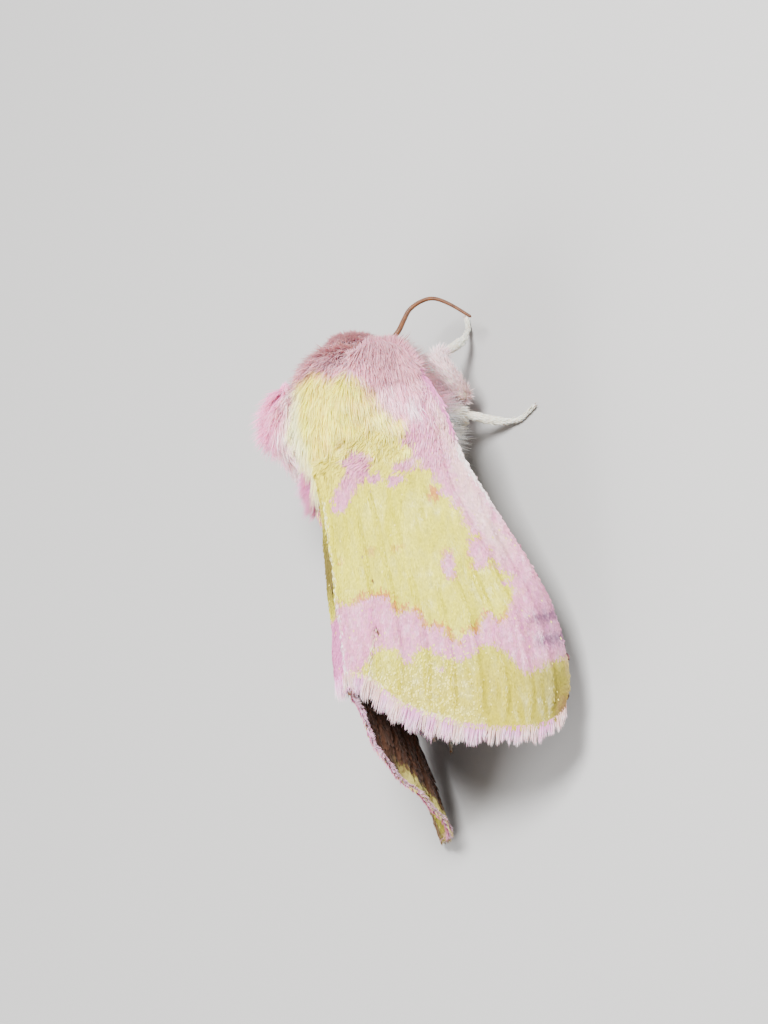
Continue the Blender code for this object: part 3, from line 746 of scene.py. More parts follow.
def margin_tones(colours, q, p):
    """The pale line inside the fringe, and the inner edge that laps over the ridge, with painted brown
    shade on its front part.
    """
    inside = p_on(FORE_OUTER, q) - p
    margin = smooth(0.16, 0.05, np.abs(inside - 0.1)) * smooth(0.3, 1.0, q) * smooth(5.6, 4.2, q)
    colours = blend(colours, PALE_LINE, margin * 0.85)
    lap = smooth(0.0, -0.08, q)
    # Painted shade: brown on the front part of the strip that laps over the ridge.
    colours = blend(colours, LAP_SHADE_BROWN, lap * smooth(-0.5, 2.6, p) * smooth(5.4, 3.4, p) * 0.85)
    colours = blend(colours, PINK, lap * smooth(5.0, 5.6, p) * 0.9)
    ridge = smooth(0.07, 0.03, np.abs(q - 0.01)) * smooth(-0.5, 0.3, p)
    colours = blend(colours, RIDGE_STRAW, ridge * smooth(5.5, 4.0, p) * 0.9)
    return blend(colours, RIDGE_BLUSH, ridge * smooth(4.0, 5.5, p) * 0.9)


def streak_tones(colours, q, p):
    """The two dark streaks that run in from the front edge, each in a dusky haze."""
    for ends in DARK_STREAKS:
        gap = from_line(q, p, ends)
        colours = blend(colours, DUSK, smooth(0.7, 0.1, gap) * smooth(7.8, 8.9, q) * 0.4)
        core = np.exp(-(gap / 0.2) ** 2) * smooth(7.7, 8.9, q)
        colours = blend(colours, PLUM, core * 0.8)
    return colours


def forewing_colours(q, p):
    """The forewing's pattern at places q, p: yellow ground, pink front edge and wavy band,
    and spots with orange rims. Uneven edges come from ripples added to each distance."""
    flat = np.stack([q, p], -1)
    rough = 0.16 * ripple(flat, 0.55, 3) + 0.07 * ripple(flat, 0.16, 4)
    costal = smooth(-0.12, 0.16, q - q_on(COSTAL_BAND, p) + rough) * smooth(6.6, 5.6, p)
    fine = 0.06 * ripple(flat, 0.28, 27) + 0.05 * ripple(flat, 0.12, 28)
    behind = from_path(q, p, BAND_FRONT) * np.sign(p - p_on(BAND_FRONT, q)) + fine
    before = from_path(q, p, BAND_BACK) * np.sign(p_on(BAND_BACK, q) - p) + fine
    band = smooth(-0.05, 0.1, behind) * smooth(-0.05, 0.1, before)
    pink = np.maximum(costal, band)
    for mark in ANTEMEDIAL_SPOTS + KIDNEY_MARKS + (STRAY_SPOT,):
        pink = np.maximum(pink, smooth(-0.12, 0.2, oval(q, p, mark) + rough))

    colours = blend(forewing_ground(q, p), ORANGE, orange_rims(q, p, behind, rough))
    colours = blend(colours, PINK, pink * (0.88 + 0.08 * ripple(flat, 0.3, 7)))
    aside = np.abs(q - q_on(CREAM_STREAK, p) + 0.5 * rough)
    colours = blend(colours, BUFF, smooth(0.75, 0.1, aside) * smooth(4.8, 3.2, p) * costal * 0.55)
    flecks = smooth(0.35, 1.2, ripple(flat * (1.0, 0.5), 0.35, 8)) * pink
    colours = blend(colours, PALE_PINK, flecks * 0.45)
    threads = 1 + 0.05 * ripple(flat * (1.0, 0.1), 0.2, 19)
    threads = threads - 0.05 * smooth(0.8, 1.8, ripple(flat * (1.0, 0.12), 0.5, 24))
    colours = crease_tones(colours * threads[..., None], q, p)
    colours = front_edge_tones(colours, q, p)
    colours = margin_tones(colours, q, p)
    return streak_tones(colours, q, p)


def folded_colours(q, p):
    """The left forewing's pattern, with a pink line along its outer edge."""
    edge_p = p_on(FORE_OUTER, q) + OUTER_REACH["left"]
    edge = smooth(0.4, 0.15, edge_p - p) * smooth(8.6, 8.0, q)
    return blend(forewing_colours(q, p), PINK, edge * 0.85)


def underside_colours(q, p):
    """The wing's underside: dull brown darkened as painted shade, darker still behind its middle as
    painted shade, with a straw strip inside the outer edge, pink towards the front edge and a pale pink
    base."""
    flat = np.stack([q, p], -1)
    # The brown ground is the underside's dull brown darkened as painted shade; the deeper brown behind
    # the middle is painted shade.
    colours = np.broadcast_to(linear(UNDERSIDE_BROWN_AND_SHADE), (*q.shape, 3)).copy()
    colours = blend(colours, UNDERSIDE_DEEP_SHADE, smooth(5.5, 7.5, p) * smooth(11.8, 10.5, p) * 0.7)
    strip = smooth(3.2, 4.6, q) * smooth(8.6, 7.6, q)
    inside = p_on(FORE_OUTER, q) - p
    strip = strip * smooth(0.3, -0.1, inside + 0.12 * ripple(flat, 0.5, 25))
    colours = blend(colours, UNDERSIDE_STRAW, strip * 0.85)
    colours = blend(colours, PINK, smooth(6.0, 8.5, q) * smooth(10.0, 7.0, p) * 0.35)
    return blend(colours, UNDERSIDE_BLUSH, smooth(4.0, 0.0, p) * 0.9)


def hindwing_colours(q, p):
    """The hindwing: pale straw with a dusky outer border and a pinkish tone."""
    flat = np.stack([q, p], -1)
    colours = np.broadcast_to(linear(HINDWING_STRAW), (*q.shape, 3)).copy()
    colours = blend(colours, HINDWING_DUSK, smooth(5.0, 8.0, p + 0.2 * ripple(flat, 1.0, 10)) * 0.6)
    return blend(colours, PALE_PINK, 0.2 + 0.1 * ripple(flat, 0.5, 11))


def vein_relief(u, v, veins):
    """Round low ridges along the veins, which start at their own place and die out."""
    relief = np.zeros_like(u)
    for place, start in veins:
        ridge = np.exp(-((u - place) / 0.011) ** 2)
        relief = np.maximum(relief, ridge * smooth(start, start + 0.1, v) * smooth(1.0, 0.94, v))
    return relief * VEIN_HEIGHT


def forewing_relief(q, p, u, v):
    """The forewing's unevenness: veins, soft waves between them and the crease."""
    flat = np.stack([q, p], -1)
    relief = vein_relief(u, v, FORE_VEINS)
    relief = relief + 0.06 * ripple(flat * (1.0, 0.35), 1.6, 12)
    relief = relief + 0.012 * ripple(flat * (1.0, 0.25), 0.35, 18)
    crease = from_line(q, p, CREASE)
    return relief + 0.08 * np.exp(-(crease / 0.13) ** 2)


class Wing:
    """One wing: its flat patch laid on its roof, and places and directions on it."""

    def __init__(self, label, edges, lift, relief):
        self.roof = ROOFS[label]
        self.edges = edges
        self.lift = lift
        self.relief = relief

    def flat(self, u, v):
        """Places q, p on the flattened wing."""
        return patch(self.edges, u, v)

    def spots(self, u, v):
        """Where places are on the unwrap."""
        return wing_spots(self.flat(u, v))

    def place(self, u, v, below=0.0):
        """Places on the wing's upper side, or that far below it."""
        flat = self.flat(u, v)
        q, p = flat[..., 0], flat[..., 1]
        height = self.lift + self.relief(q, p, u, v) - below
        return self.roof.place(q, p) + self.roof.normal(q, p) * height[..., None]

    def frame(self, u, v):
        """Places, and the directions out of the wing and back along it."""
        step = 0.004
        here = self.place(u, v)
        back = unit(self.place(u, np.clip(v + step, 0, 1)) - self.place(u, np.clip(v - step, 0, 1)))
        across = self.place(np.clip(u + step, 0, 1), v) - self.place(np.clip(u - step, 0, 1), v)
        out = unit(np.cross(across, back) * self.roof.side)
        return here, out, back

    def cell_areas(self, rows, columns):
        """The areas of the cells of a grid over the flattened wing."""
        u, v = np.meshgrid(np.linspace(0, 1, columns), np.linspace(0, 1, rows))
        flat = self.flat(u, v)
        a = flat[1:, 1:] - flat[:-1, :-1]
        b = flat[1:, :-1] - flat[:-1, 1:]
        return np.abs(a[..., 0] * b[..., 1] - a[..., 1] * b[..., 0]) / 2


def wing_sheet(name, wing, grid, material, upper, lower):
    """The membrane: a thin closed shell whose two sides have their own colours."""
    rows, columns = grid
    u, v = np.meshgrid(np.linspace(0, 1, columns), np.linspace(0, 1, rows))
    flat = wing.flat(u, v)
    top = wing.place(u, v)
    bottom = wing.place(u, v, SHEET_THICK)
    points = np.concatenate([top.reshape(-1, 3), bottom.reshape(-1, 3)])
    faces = shell_faces(rows, columns)
    if wing.roof.side < 0:
        faces = faces[:, ::-1]
    colours = np.concatenate([upper(flat[..., 0], flat[..., 1]).reshape(-1, 3),
                              lower(flat[..., 0], flat[..., 1]).reshape(-1, 3)])
    return make_piece(name, points, faces, material, colours)


def wing_spots(flat):
    """The places of roots on the unwrap: the flat wing fitted into a square."""
    return np.stack([(flat[..., 0] + 1.0) / 11.5, (flat[..., 1] + 5.5) / 19.0], -1)


def wing_scales(name, wing, count, size, material, paint, seed, below=False):
    """Scales all over one side of a wing, lying back along it like shingles."""
    rng = np.random.default_rng(seed)
    u, v = spread_evenly(wing.cell_areas(80, 60), count, seed)
    flat = wing.flat(u, v)
    roots, outs, ways = wing.frame(u, v)
    if below:
        roots = roots - outs * SHEET_THICK
        outs = -outs
    across = np.cross(ways, outs)
    ways = unit(ways + across * rng.normal(0, 0.14, (count, 1)))
    colours = paint(flat[:, 0] + rng.normal(0, 0.05, count), flat[:, 1] + rng.normal(0, 0.08, count))
    colours = colours * np.exp(rng.normal(0.0, 0.085, (count, 1)))
    # Painted highlight: a share of the scales in the outer field get the pale gold glint colour, and
    # stand a little more upright.
    glint_field = smooth(7.4, 8.3, flat[:, 1]) * smooth(6.5, 4.0, flat[:, 0]) * smooth(-1.0, 1.0, flat[:, 0])
    sparkling = rng.uniform(size=count) < (0.003 + 0.14 * glint_field) * (not below)
    colours = blend(colours, GLINT, sparkling * 0.9)
    fluff = smooth(0.6, -2.4, flat[:, 1]) * (not below)
    tilts = rng.uniform(0.02, 0.15, count) + 0.15 * sparkling + 0.28 * fluff * rng.uniform(size=count)
    lengths = size[0] * rng.uniform(0.8, 1.25, count) * (1 + 0.9 * fluff) * (1 - 0.35 * sparkling)
    widths = size[1] * rng.uniform(0.8, 1.2, count) * (1 - 0.25 * fluff)
    return scales(name, material, roots + outs * 0.004, ways, outs, lengths, widths, tilts,
                  colours, wing_spots(flat))


def fringe(name, wing, count, reach, material, seed, pink, curl=0.0):
    """The fringe: flat hair scales in layers along the outer edge, pink and straw by turns,
    with pale tips, each pointing back from the wing and down by its curl; pink is how pink
    the straw ones are."""
    rng = np.random.default_rng(seed)
    u = rng.uniform(0.0, 1.0, count)
    v = np.ones(count)
    roots, outs, backs = wing.frame(u, v)
    step = 0.01
    after = wing.place(np.clip(u + step, 0, 1), v)
    before = wing.place(np.clip(u - step, 0, 1), v)
    edge = unit(after - before)
    square = unit(np.cross(edge, outs))
    square = square * np.sign((square * backs).sum(-1, keepdims=True))
    tooth = u * FRINGE_TEETH + 0.3 * ripple(u[:, None], 0.05, seed + 3)
    off_middle = tooth - np.floor(tooth) - 0.5
    lean = (rng.normal(0, 0.05, count) - 0.3 * off_middle)[:, None]
    ways = unit(square * 0.35 + backs * 0.75 + edge * lean
                + outs * (rng.normal(0.0, 0.08, (count, 1)) - curl))
    layer = rng.uniform(0, 1, count)
    depth = layer * min(1.0, 0.4 * float(reach(0.5)))
    roots = roots - backs * depth[:, None] + outs * (0.03 - SHEET_THICK * layer)[:, None]
    lengths = reach(u) * rng.uniform(0.75, 1.05, count) * (1.08 - 0.5 * np.abs(off_middle))
    lengths = lengths * (1 + 0.12 * np.sin(7.3 * np.floor(tooth))) + 0.7 * depth
    turns = smooth(-0.6, 0.2, np.sin(u * 50.0 + 0.9 * ripple(u[:, None], 0.1, seed)))
    low = blend(np.broadcast_to(linear(PALE_YELLOW), (count, 3)), PINK, pink + (1 - pink) * turns)
    high = blend(blend(low, PINK, np.full(count, 0.5)), WHITE, rng.uniform(0.2, 0.95, count))
    low = low * rng.uniform(0.85, 1.0, (count, 1))
    flat = wing.flat(u, v)
    return hairs(name, material, roots, ways, outs, lengths, rng.uniform(0.05, 0.09, count),
                 rng.uniform(-0.05, 0.12, count), low, high, wing_spots(flat))


FORE_SHEET_GRID = (150, 110)
HIND_SHEET_GRID = (90, 60)
FORE_SCALES = {"left": (20000,), "right": (32000, 17000)}
FORE_SCALE_SIZE = (0.26, 0.075)
BROAD_SCALE_SIZE = (0.4, 0.18)
BASE_FUR_ACROSS = {"right": (0, 1), "left": (1, 0)}
BASE_FUR_BACK = (0.0, 0.28)
BAY_ACROSS = {"right": (0.0, 0.12), "left": (0.12, 0.0)}
BAY_BACK = (0.02, 0.36)
WING_SEEDS = {"left": 40, "right": 20}


def always(value):
    """A length or a raise that is the same for every hair."""
    return lambda roots: value


def base_fur_length(roots):
    """The fur at the wing's base shortens towards the scales behind it."""
    return 0.85 - 0.4 * smooth(-3.4, -0.8, roots[..., 1])


def wing_root_colours(wing, points):
    """The forewing's pattern for hairs near its root, where the roof is nearly straight: q is
    read from the distance off the ridge."""
    roof = wing.roof
    slope = np.radians(roof.eaves[0] + roof.curl[0] * 0.06)
    q = np.abs(points[..., 0]) / np.cos(slope)
    return blend(forewing_colours(q, points[..., 1]), WHITE, np.full(len(points), 0.06))


def bay_place(wing, u, v):
    """Places just in front of the wing's inner edge, where it comes out of the thorax fur."""
    return wing.place(u, v) + (0.0, -0.55, -0.2)


def build_forewing(label, seed, materials):
    """A forewing: its sheet, its scales above and below, the fur at its base and its fringe."""
    name = "forewing_" + label
    wing = Wing(label, forewing_edges(label), FORE_LIFT[label], forewing_relief)
    pattern = forewing_colours if label == "right" else folded_colours
    sheet = wing_sheet(name + "_sheet", wing, FORE_SHEET_GRID, materials["scale"], pattern,
                       underside_colours)
    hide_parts("forewing_" + label)
    for layer, count in enumerate(FORE_SCALES[label]):
        coat = wing_scales(name + "_scales_" + str(layer + 1), wing, count, FORE_SCALE_SIZE,
                           materials["scale"], pattern, seed + 10 * layer)
    under = wing_scales(name + "_under_scales", wing, 3500, BROAD_SCALE_SIZE,
                        materials["scale"], underside_colours, seed + 1, below=True)
    base = fur(name + "_base_fur", wing.place, BASE_FUR_ACROSS[label], BASE_FUR_BACK, 3400,
               base_fur_length, always(13.0), WING_HAIR_WIDTH, lie_back,
               partial(wing_root_colours, wing), wing.spots, materials["fur"], seed + 6)
    bay = fur(name + "_bay_fur", partial(bay_place, wing), BAY_ACROSS[label], BAY_BACK, 1000,
              always(0.8), always(22.0), WING_HAIR_WIDTH, lie_back, tuft_colours, wing.spots,
              materials["fur"], seed + 8)

    def reach(u):
        return fringe_share(u) * FRINGE_REACH[label]

    edging = fringe(name + "_fringe", wing, FRINGE_COUNT[label], reach, materials["fringe"],
                    seed + 2, FRINGE_PINK[label], FRINGE_CURL[label])


def build_hindwing(label, seed, materials):
    """A hindwing: its sheet, the scales on its underside and its fringe."""
    name = "hindwing_" + label
    wing = Wing(label, hindwing_edges(label), HIND_LIFT, hindwing_relief)
    sheet = wing_sheet(name + "_sheet", wing, HIND_SHEET_GRID, materials["hind"],
                       hindwing_colours, hindwing_colours)
    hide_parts("hindwing_" + label)
    coat = wing_scales(name + "_scales", wing, 2400, BROAD_SCALE_SIZE, materials["hind"],
                       hindwing_colours, seed + 3, below=True)
    edging = fringe(name + "_fringe", wing, 700, hind_fringe_reach, materials["fringe"],
                    seed + 4, 0.3)


def build_wings(materials):
    """Both forewings and both hindwings."""
    for label, seed in WING_SEEDS.items():
        build_forewing(label, seed, materials)
        build_hindwing(label, seed, materials)


def fringe_share(u):
    """The forewing's fringe is longest near the inner corner and shortest at the tip."""
    return 1.2 - 0.25 * smooth(0.5, 0.75, u) - 0.3 * smooth(0.88, 1.0, u)


def hind_fringe_reach(u):
    """The hindwing's fringe is a little shorter at its tip."""
    return 0.6 - 0.2 * smooth(0.8, 1.0, u)


def hindwing_relief(q, p, u, v):
    """The hindwing's unevenness: veins and soft waves along it."""
    flat = np.stack([q, p], -1)
    return vein_relief(u, v, HIND_VEINS) + 0.03 * ripple(flat * (1.0, 0.3), 1.2, 13)


# Body

EYE_RADIUS = 0.52
EYE_TALLNESS = 1.06
EYE_CENTRE = np.array([1.13, -7.36, 4.1])


def clear_of_eyes(roots, tips):
    """True for hairs whose root, middle and tip all stand outside both eyes."""
    clear = np.ones(len(roots), bool)
    for side in SIDES.values():
        for share in (0.0, 0.5, 1.0):
            gap = roots + (tips - roots) * share - EYE_CENTRE * (side, 1, 1)
            clear = clear & (np.linalg.norm(gap, axis=-1) > EYE_RADIUS + 0.03)
    return clear


def skin_place(turn, share):
    """A place on the body's skin: a superellipse through the stations, less the coat's depth,
    at an angle turned from +X towards +Z, set aside behind the waist."""
    stations = through(BODY_STATIONS, 400)
    shares = np.linspace(0, 1, 400)
    y, half, top, bottom, coat = (np.interp(share, shares, column) for column in stations.T)
    half = np.maximum(half - coat, 0.02)
    tall = np.maximum((top - bottom) / 2 - coat, 0.02)
    c, s = np.cos(turn), np.sin(turn)
    x = half * np.sign(c) * np.abs(c) ** (2 / BODY_POWER)
    z = (top + bottom) / 2 + tall * np.sign(s) * np.abs(s) ** (2 / BODY_POWER)
    x = x + ABDOMEN_ASIDE * smooth(-1.0, 1.0, y)
    return np.stack(np.broadcast_arrays(x, y, z), -1)


# The yellow patch on the back: its front edge's y, by degrees aside from the middle of the
# back, and its side edge's degrees aside, by y
PATCH_FRONT = ((0, -6.2), (24, -5.75), (42, -5.4), (53, -5.1), (60, -4.7), (66, -3.6), (90, -2.0))
PATCH_SIDE = ((-5.4, 62), (-3.6, 62), (-3.1, 68), (-2.6, 74), (-2.0, 82), (0.0, 90))


def body_colours(points):
    """The body's coat: mauve head and collar, yellow back with pink flanks and a painted ivory highlight
    on its left, painted brown shade in a groove, a white breast, painted mauve shade in the hollow
    before each wing and a straw abdomen."""
    x, y, z = points[..., 0], points[..., 1], points[..., 2]
    rough = 0.12 * ripple(points, 0.9, 14) + 0.1 * ripple(points, 0.3, 15)
    aside = np.degrees(np.arctan2(np.abs(x), z - 5.3))
    colours = np.broadcast_to(linear(FUR_PINK), (*x.shape, 3)).copy()
    colours = blend(colours, FUR_PALE, smooth(-0.4, 0.9, ripple(points, 0.6, 16)) * 0.8)
    colours = blend(colours, MAUVE, smooth(-5.2, -6.2, y + rough) * 0.85)
    front = np.interp(aside, *np.transpose(PATCH_FRONT))
    side = np.interp(y, *np.transpose(PATCH_SIDE))
    back = smooth(-0.12, 0.18, y - front + rough) * smooth(5, -5, aside - side + 25 * rough)
    colours = blend(colours, FUR_YELLOW, back)
    colours = blend(colours, FUR_CREAM, back * smooth(-0.3, 1.0, ripple(points, 0.5, 17)) * 0.55)
    streaks = smooth(0.5, 1.5, ripple(points * (1.0, 0.25, 1.0), 0.3, 26)) * back
    colours = blend(colours, FUR_TAN, streaks * 0.5)
    # Painted highlight: ivory on the left side of the yellow back.
    colours = blend(colours, FUR_IVORY_HIGHLIGHT, back * smooth(0.2, 1.1, x + rough) * 0.6)
    # Painted shade: brown in a groove at the back of the thorax.
    groove_shade = np.exp(-((aside - 32) / 9) ** 2 - ((y + 2.4) / 0.6) ** 2)
    colours = blend(colours, BROWN, groove_shade * 0.45)
    below = smooth(4.8, 3.8, z + 2 * rough + 2.4 * smooth(-3.9, -4.8, y)) * smooth(-6.6, -5.6, y)
    colours = blend(colours, WHITE, below * 0.95)
    # Painted shade: mauve in the hollow before each wing.
    hollow = np.linalg.norm(np.stack([np.abs(x) - 3.0, y + 4.95, z - 3.85], -1), axis=-1)
    colours = blend(colours, HOLLOW_SHADE_MAUVE, smooth(0.85, 0.5, hollow + 0.5 * rough) * 0.7)
    rear = smooth(-0.9, 0.1, y)
    return blend(colours, ABDOMEN_STRAW, rear * 0.9)


def fur(name, place, u_span, v_span, count, length, raised, width, lie, paint, spot, material,
        seed):
    """Fur on the surface place(u, v): hairs leave their roots at a raise, in degrees, over the
    direction `lie` drawn along the surface, and bend down to it. Locks lean and rise together.
    """
    rng = np.random.default_rng(seed)
    u, v = np.meshgrid(np.linspace(*u_span, 41), np.linspace(*v_span, 61))
    grid = place(u, v)
    diagonals = np.cross(grid[1:, 1:] - grid[:-1, :-1], grid[1:, :-1] - grid[:-1, 1:])
    areas = np.linalg.norm(diagonals, axis=-1) / 2
    u, v = spread_evenly(areas, count, seed)
    u = u_span[0] + (u_span[1] - u_span[0]) * u
    v = v_span[0] + (v_span[1] - v_span[0]) * v
    step_u = (u_span[1] - u_span[0]) * 0.004
    step_v = (v_span[1] - v_span[0]) * 0.004
    roots = place(u, v)
    out = unit(np.cross(place(u, v + step_v) - place(u, v - step_v),
                        place(u + step_u, v) - place(u - step_u, v)))
    lock = ripple(roots, 0.8, seed + 1)
    back = lie(roots)
    back = unit(back - out * (back * out).sum(-1, keepdims=True))
    lean = 0.14 * ripple(roots, 0.6, seed + 2) + rng.normal(0, 0.1, count)
    back = unit(back + np.cross(back, out) * lean[:, None])
    rise = np.radians(raised(roots) + 5 * lock + rng.normal(0, 7, count))
    ways = unit(back * np.cos(rise)[:, None] + out * np.sin(rise)[:, None])
    lengths = length(roots) * (1 + 0.12 * lock) * rng.uniform(0.65, 1.15, count)
    base = paint(roots + rng.normal(0, 0.05, (count, 3)))
    tone = np.exp(0.06 * lock + rng.normal(0, 0.09, count))[:, None]
    low = base * tone
    # Tips are painted lighter and whiter than the roots: painted highlight.
    high = blend(base * tone * 1.25, WHITE, 0.05 + 0.22 * rng.uniform(size=count))
    widths = width * rng.uniform(0.7, 1.3, count)
    droops = rng.uniform(0.02, 0.2, count)
    keep = clear_of_eyes(roots, roots + ways * lengths[:, None])
    return hairs(name, material, roots[keep], ways[keep], out[keep], lengths[keep], widths[keep],
                 droops[keep], low[keep], high[keep], spot(u[keep], v[keep]))


BODY_SKIN_RINGS = 160
BODY_SKIN_SIDES = 72
# Each coat: its span along the body and round it, hairs, length, raise in degrees, slot, seed
BODY_COATS = {
    "head_fur": ((0.004, 0.11), (0, FULL_TURN), 6500, 0.52, 34, "collar_fur", 51),
    "collar_fur": ((0.1, 0.25), (0, FULL_TURN), 12500, 0.9, 28, "collar_fur", 54),
    "thorax_fur": ((0.24, 0.5), (0.0, math.pi), 14200, 1.1, 18, "thorax_fur", 57),
    "breast_fur": ((0.2, 0.5), (math.pi, FULL_TURN), 5000, 1.15, 44, "thorax_fur", 60),
    "abdomen_fur": ((0.5, 0.99), (0, FULL_TURN), 3500, 0.75, 18, "abdomen_fur", 63)}
# Each pair of tufts: its span round the right side and along it, hairs, length and raise
SIDE_TUFTS = {
    "chest_tuft": ((3.5, 4.3), (0.3, 0.47), 2300, 1.95, 72.0),
    "flank_tuft": ((3.25, 4.15), (0.18, 0.33), 2100, 1.6, 62.0)}


def coat_raise(raised, roots):
    """A coat's raise, with more on the flanks."""
    return raised + 12 * flank(roots)


def build_body(materials):
    """One skin for head, collar, thorax and abdomen, and the fur over it."""
    share, turn = np.meshgrid(np.linspace(0, 1, BODY_SKIN_RINGS),
                              np.arange(BODY_SKIN_SIDES) * FULL_TURN / BODY_SKIN_SIDES,
                              indexing="ij")
    points, faces = tube_mesh(skin_place(turn, share))
    skin = make_piece("body_skin", points, faces, materials["skin"], body_colours(points))
    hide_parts("head", "collar", "thorax", "abdomen")
    for name, (span, turns, count, length, raised, slot, seed) in BODY_COATS.items():
        coat = fur(name, skin_place, turns, span, count, always(length),
                   partial(coat_raise, raised), BODY_HAIR_WIDTH, lie_back, body_colours,
                   body_spot, materials["fur"], seed)
    for name, (turns, span, count, length, raised) in SIDE_TUFTS.items():
        for label, side in SIDES.items():
            around = turns if side < 0 else (math.pi - turns[1], math.pi - turns[0])
            tuft = fur(name + "_" + label, skin_place, around, span, count, always(length),
                       always(raised), SIDE_TUFT_HAIR_WIDTH, lie_back, body_colours,
                       body_spot, materials["fur"], 67 + side)
    tuft = fur("dorsal_tuft", skin_place, (0.7, 1.62), (0.43, 0.5), 1500, always(1.6),
               always(28.0), TUFT_HAIR_WIDTH, lie_back, tuft_colours, body_spot,
               materials["fur"], 66)


def flank(points):
    """1 low on the sides of the thorax, where the fur stands out between legs and wings."""
    x, y, z = points[..., 0], points[..., 1], points[..., 2]
    return smooth(1.4, 2.4, np.abs(x)) * smooth(5.6, 4.4, z) * smooth(-7.0, -6.0, y)


def tuft_colours(points):
    """The body's pattern with a touch of cream, for the longest hairs on the back."""
    return blend(body_colours(points), FUR_CREAM, np.full(len(points), 0.3))


def body_spot(turn, share):
    """The places of roots on the unwrap: the turn round the body and the share along it."""
    return np.stack([(turn % FULL_TURN) / FULL_TURN, share], -1)


def lie_back(roots):
    """The way of fur that lies straight back."""
    return np.broadcast_to((0.0, 1.0, 0.0), roots.shape)


# Tegulae

TEGULA_MIDDLE = (3.1, -4.45)
TEGULA_REACH = (1.5, 2.15)
TEGULA_RISE = {"left": 0.6, "right": 0.35}


def roof_height(roof, x, y):
    """The height of a wing's roof over x, y, from a table of crosswise lines."""
    q = np.linspace(-1.5, 9, 90)
    rows = np.linspace(-8, 2, 60)
    columns = np.linspace(0, 8, 120)
    lines = roof.place(*np.broadcast_arrays(q[None], rows[:, None]))
    table = np.array([np.interp(columns, line[:, 0] * roof.side, line[:, 2]) for line in lines])
    row = np.clip((y - rows[0]) / (rows[1] - rows[0]), 0, len(rows) - 1.001)
    column = np.clip(x * roof.side / (columns[1] - columns[0]), 0, len(columns) - 1.001)
    r, c = row.astype(int), column.astype(int)
    a, b = row - r, column - c
    front = table[r, c] * (1 - b) + table[r, c + 1] * b
    behind = table[r + 1, c] * (1 - b) + table[r + 1, c + 1] * b
    return front * (1 - a) + behind * a


def body_top(x, y):
    """The height of the body's coat over x, y, and far below beside it."""
    stations = np.array(BODY_STATIONS)
    half, top, bottom = (np.interp(y, stations[:, 0], stations[:, k]) for k in (1, 2, 3))
    inside = 1 - np.abs(x / half) ** BODY_POWER
    height = (top + bottom) / 2 + (top - bottom) / 2 * np.abs(inside) ** (1 / BODY_POWER)
    return np.where(inside > 0, height, -9.0)


def tegula_place(side, label, turn, reach, under=False):
    """A place on the rounded pad over the shoulder, at a turn round it and a share of its
    reach: it rests on the higher of body and wing, blended softly, and rises in its middle."""
    x = side * TEGULA_MIDDLE[0] + TEGULA_REACH[0] * reach * np.cos(turn) * side
    y = TEGULA_MIDDLE[1] + TEGULA_REACH[1] * reach * np.sin(turn)
    body = body_top(x, y)
    wing = roof_height(ROOFS[label], x, y)
    soft = 0.3
    ground = np.maximum(body, wing) + soft * np.log1p(np.exp(-np.abs(body - wing) / soft))
    dome = np.sqrt(np.clip(1 - reach ** 2, 0, 1))
    lift = -0.3 * dome if under else TEGULA_RISE[label] * dome
    sunk = 0.35 * smooth(0.55, 1.0, reach) * smooth(-0.2, 0.2, body - wing)
    return np.stack(np.broadcast_arrays(x, y, ground + 0.02 + lift - sunk), -1)


def tegula_colours(points):
    """The body's pattern, with mauve on the right pad's outer front, and a pale left pad whose
    front corner is magenta."""
    x, y = points[..., 0], points[..., 1]
    rough = 0.2 * ripple(points, 0.6, 70)
    colours = body_colours(points)
    raised = smooth(1.5, 1.8, x + rough)
    outer = smooth(-2.4, -3.2, x + rough)
    colours = blend(colours, FUR_PALE, smooth(-1.8, -2.8, x + rough) * smooth(-4.6, -4.0, y) * 0.15)
    colours = blend(colours, MAUVE, outer * smooth(-3.9, -4.8, y + rough) * 0.8)
    colours = blend(colours, FUR_PALE, raised)
    magenta = raised * smooth(1.8, 2.3, x + rough) * smooth(-3.6, -4.3, y + rough)
    return blend(colours, MAGENTA, magenta * 0.85)


def tegula_length(points):
    """Long fur in front, short where the pad lies on the wing."""
    return 1.1 + 0.2 * ripple(points, 0.5, 71) - 0.35 * smooth(-4.2, -3.2, points[..., 1])


def tegula_spot(turn, reach):
    """The places of roots on the unwrap: the pad flattened into a disc."""
    return 0.5 + np.stack([np.cos(turn), np.sin(turn)], -1) * reach[..., None] * 0.48


def tegula_lie(side, roots):
    """The way of the pad's fur: back, and fanned outwards most on the left pad's front."""
    outwards = np.clip((np.abs(roots[..., 0]) - 2.2) / 1.6, 0, 1)
    fan = 1.5 * smooth(-3.9, -5.0, roots[..., 1]) if side > 0 else 0.3
    return np.stack([side * fan * outwards, np.ones(len(roots)), 0 * outwards], -1)


def tegula_outwards(side, roots):
    """The way of the rim's fur: level and away from the pad's middle."""
    middle = (side * TEGULA_MIDDLE[0], TEGULA_MIDDLE[1], 0.0)
    return (roots - middle) * (1.0, 1.0, 0.0)


def tegula_raise(roots):
    """The pad's fur stands up most on the left pad's outer front corner."""
    outer = smooth(2.4, 3.8, roots[..., 0]) * smooth(-4.0, -5.0, roots[..., 1])
    return 20 + 30 * outer


def tegula_pad(side, label):
    """The pad's closed skin: rings out over its top and back in under it."""
    over = 16
    reach = np.concatenate([np.linspace(0.04, 1, over), np.linspace(0.96, 0.04, over - 1)])
    reach, turn = np.meshgrid(reach, np.arange(40) * math.pi / 20, indexing="ij")
    rings = tegula_place(side, label, turn, reach)
    rings[over:] = tegula_place(side, label, turn[over:], reach[over:], under=True)
    points, faces = tube_mesh(rings)
    return points, faces if side > 0 else faces[:, ::-1]


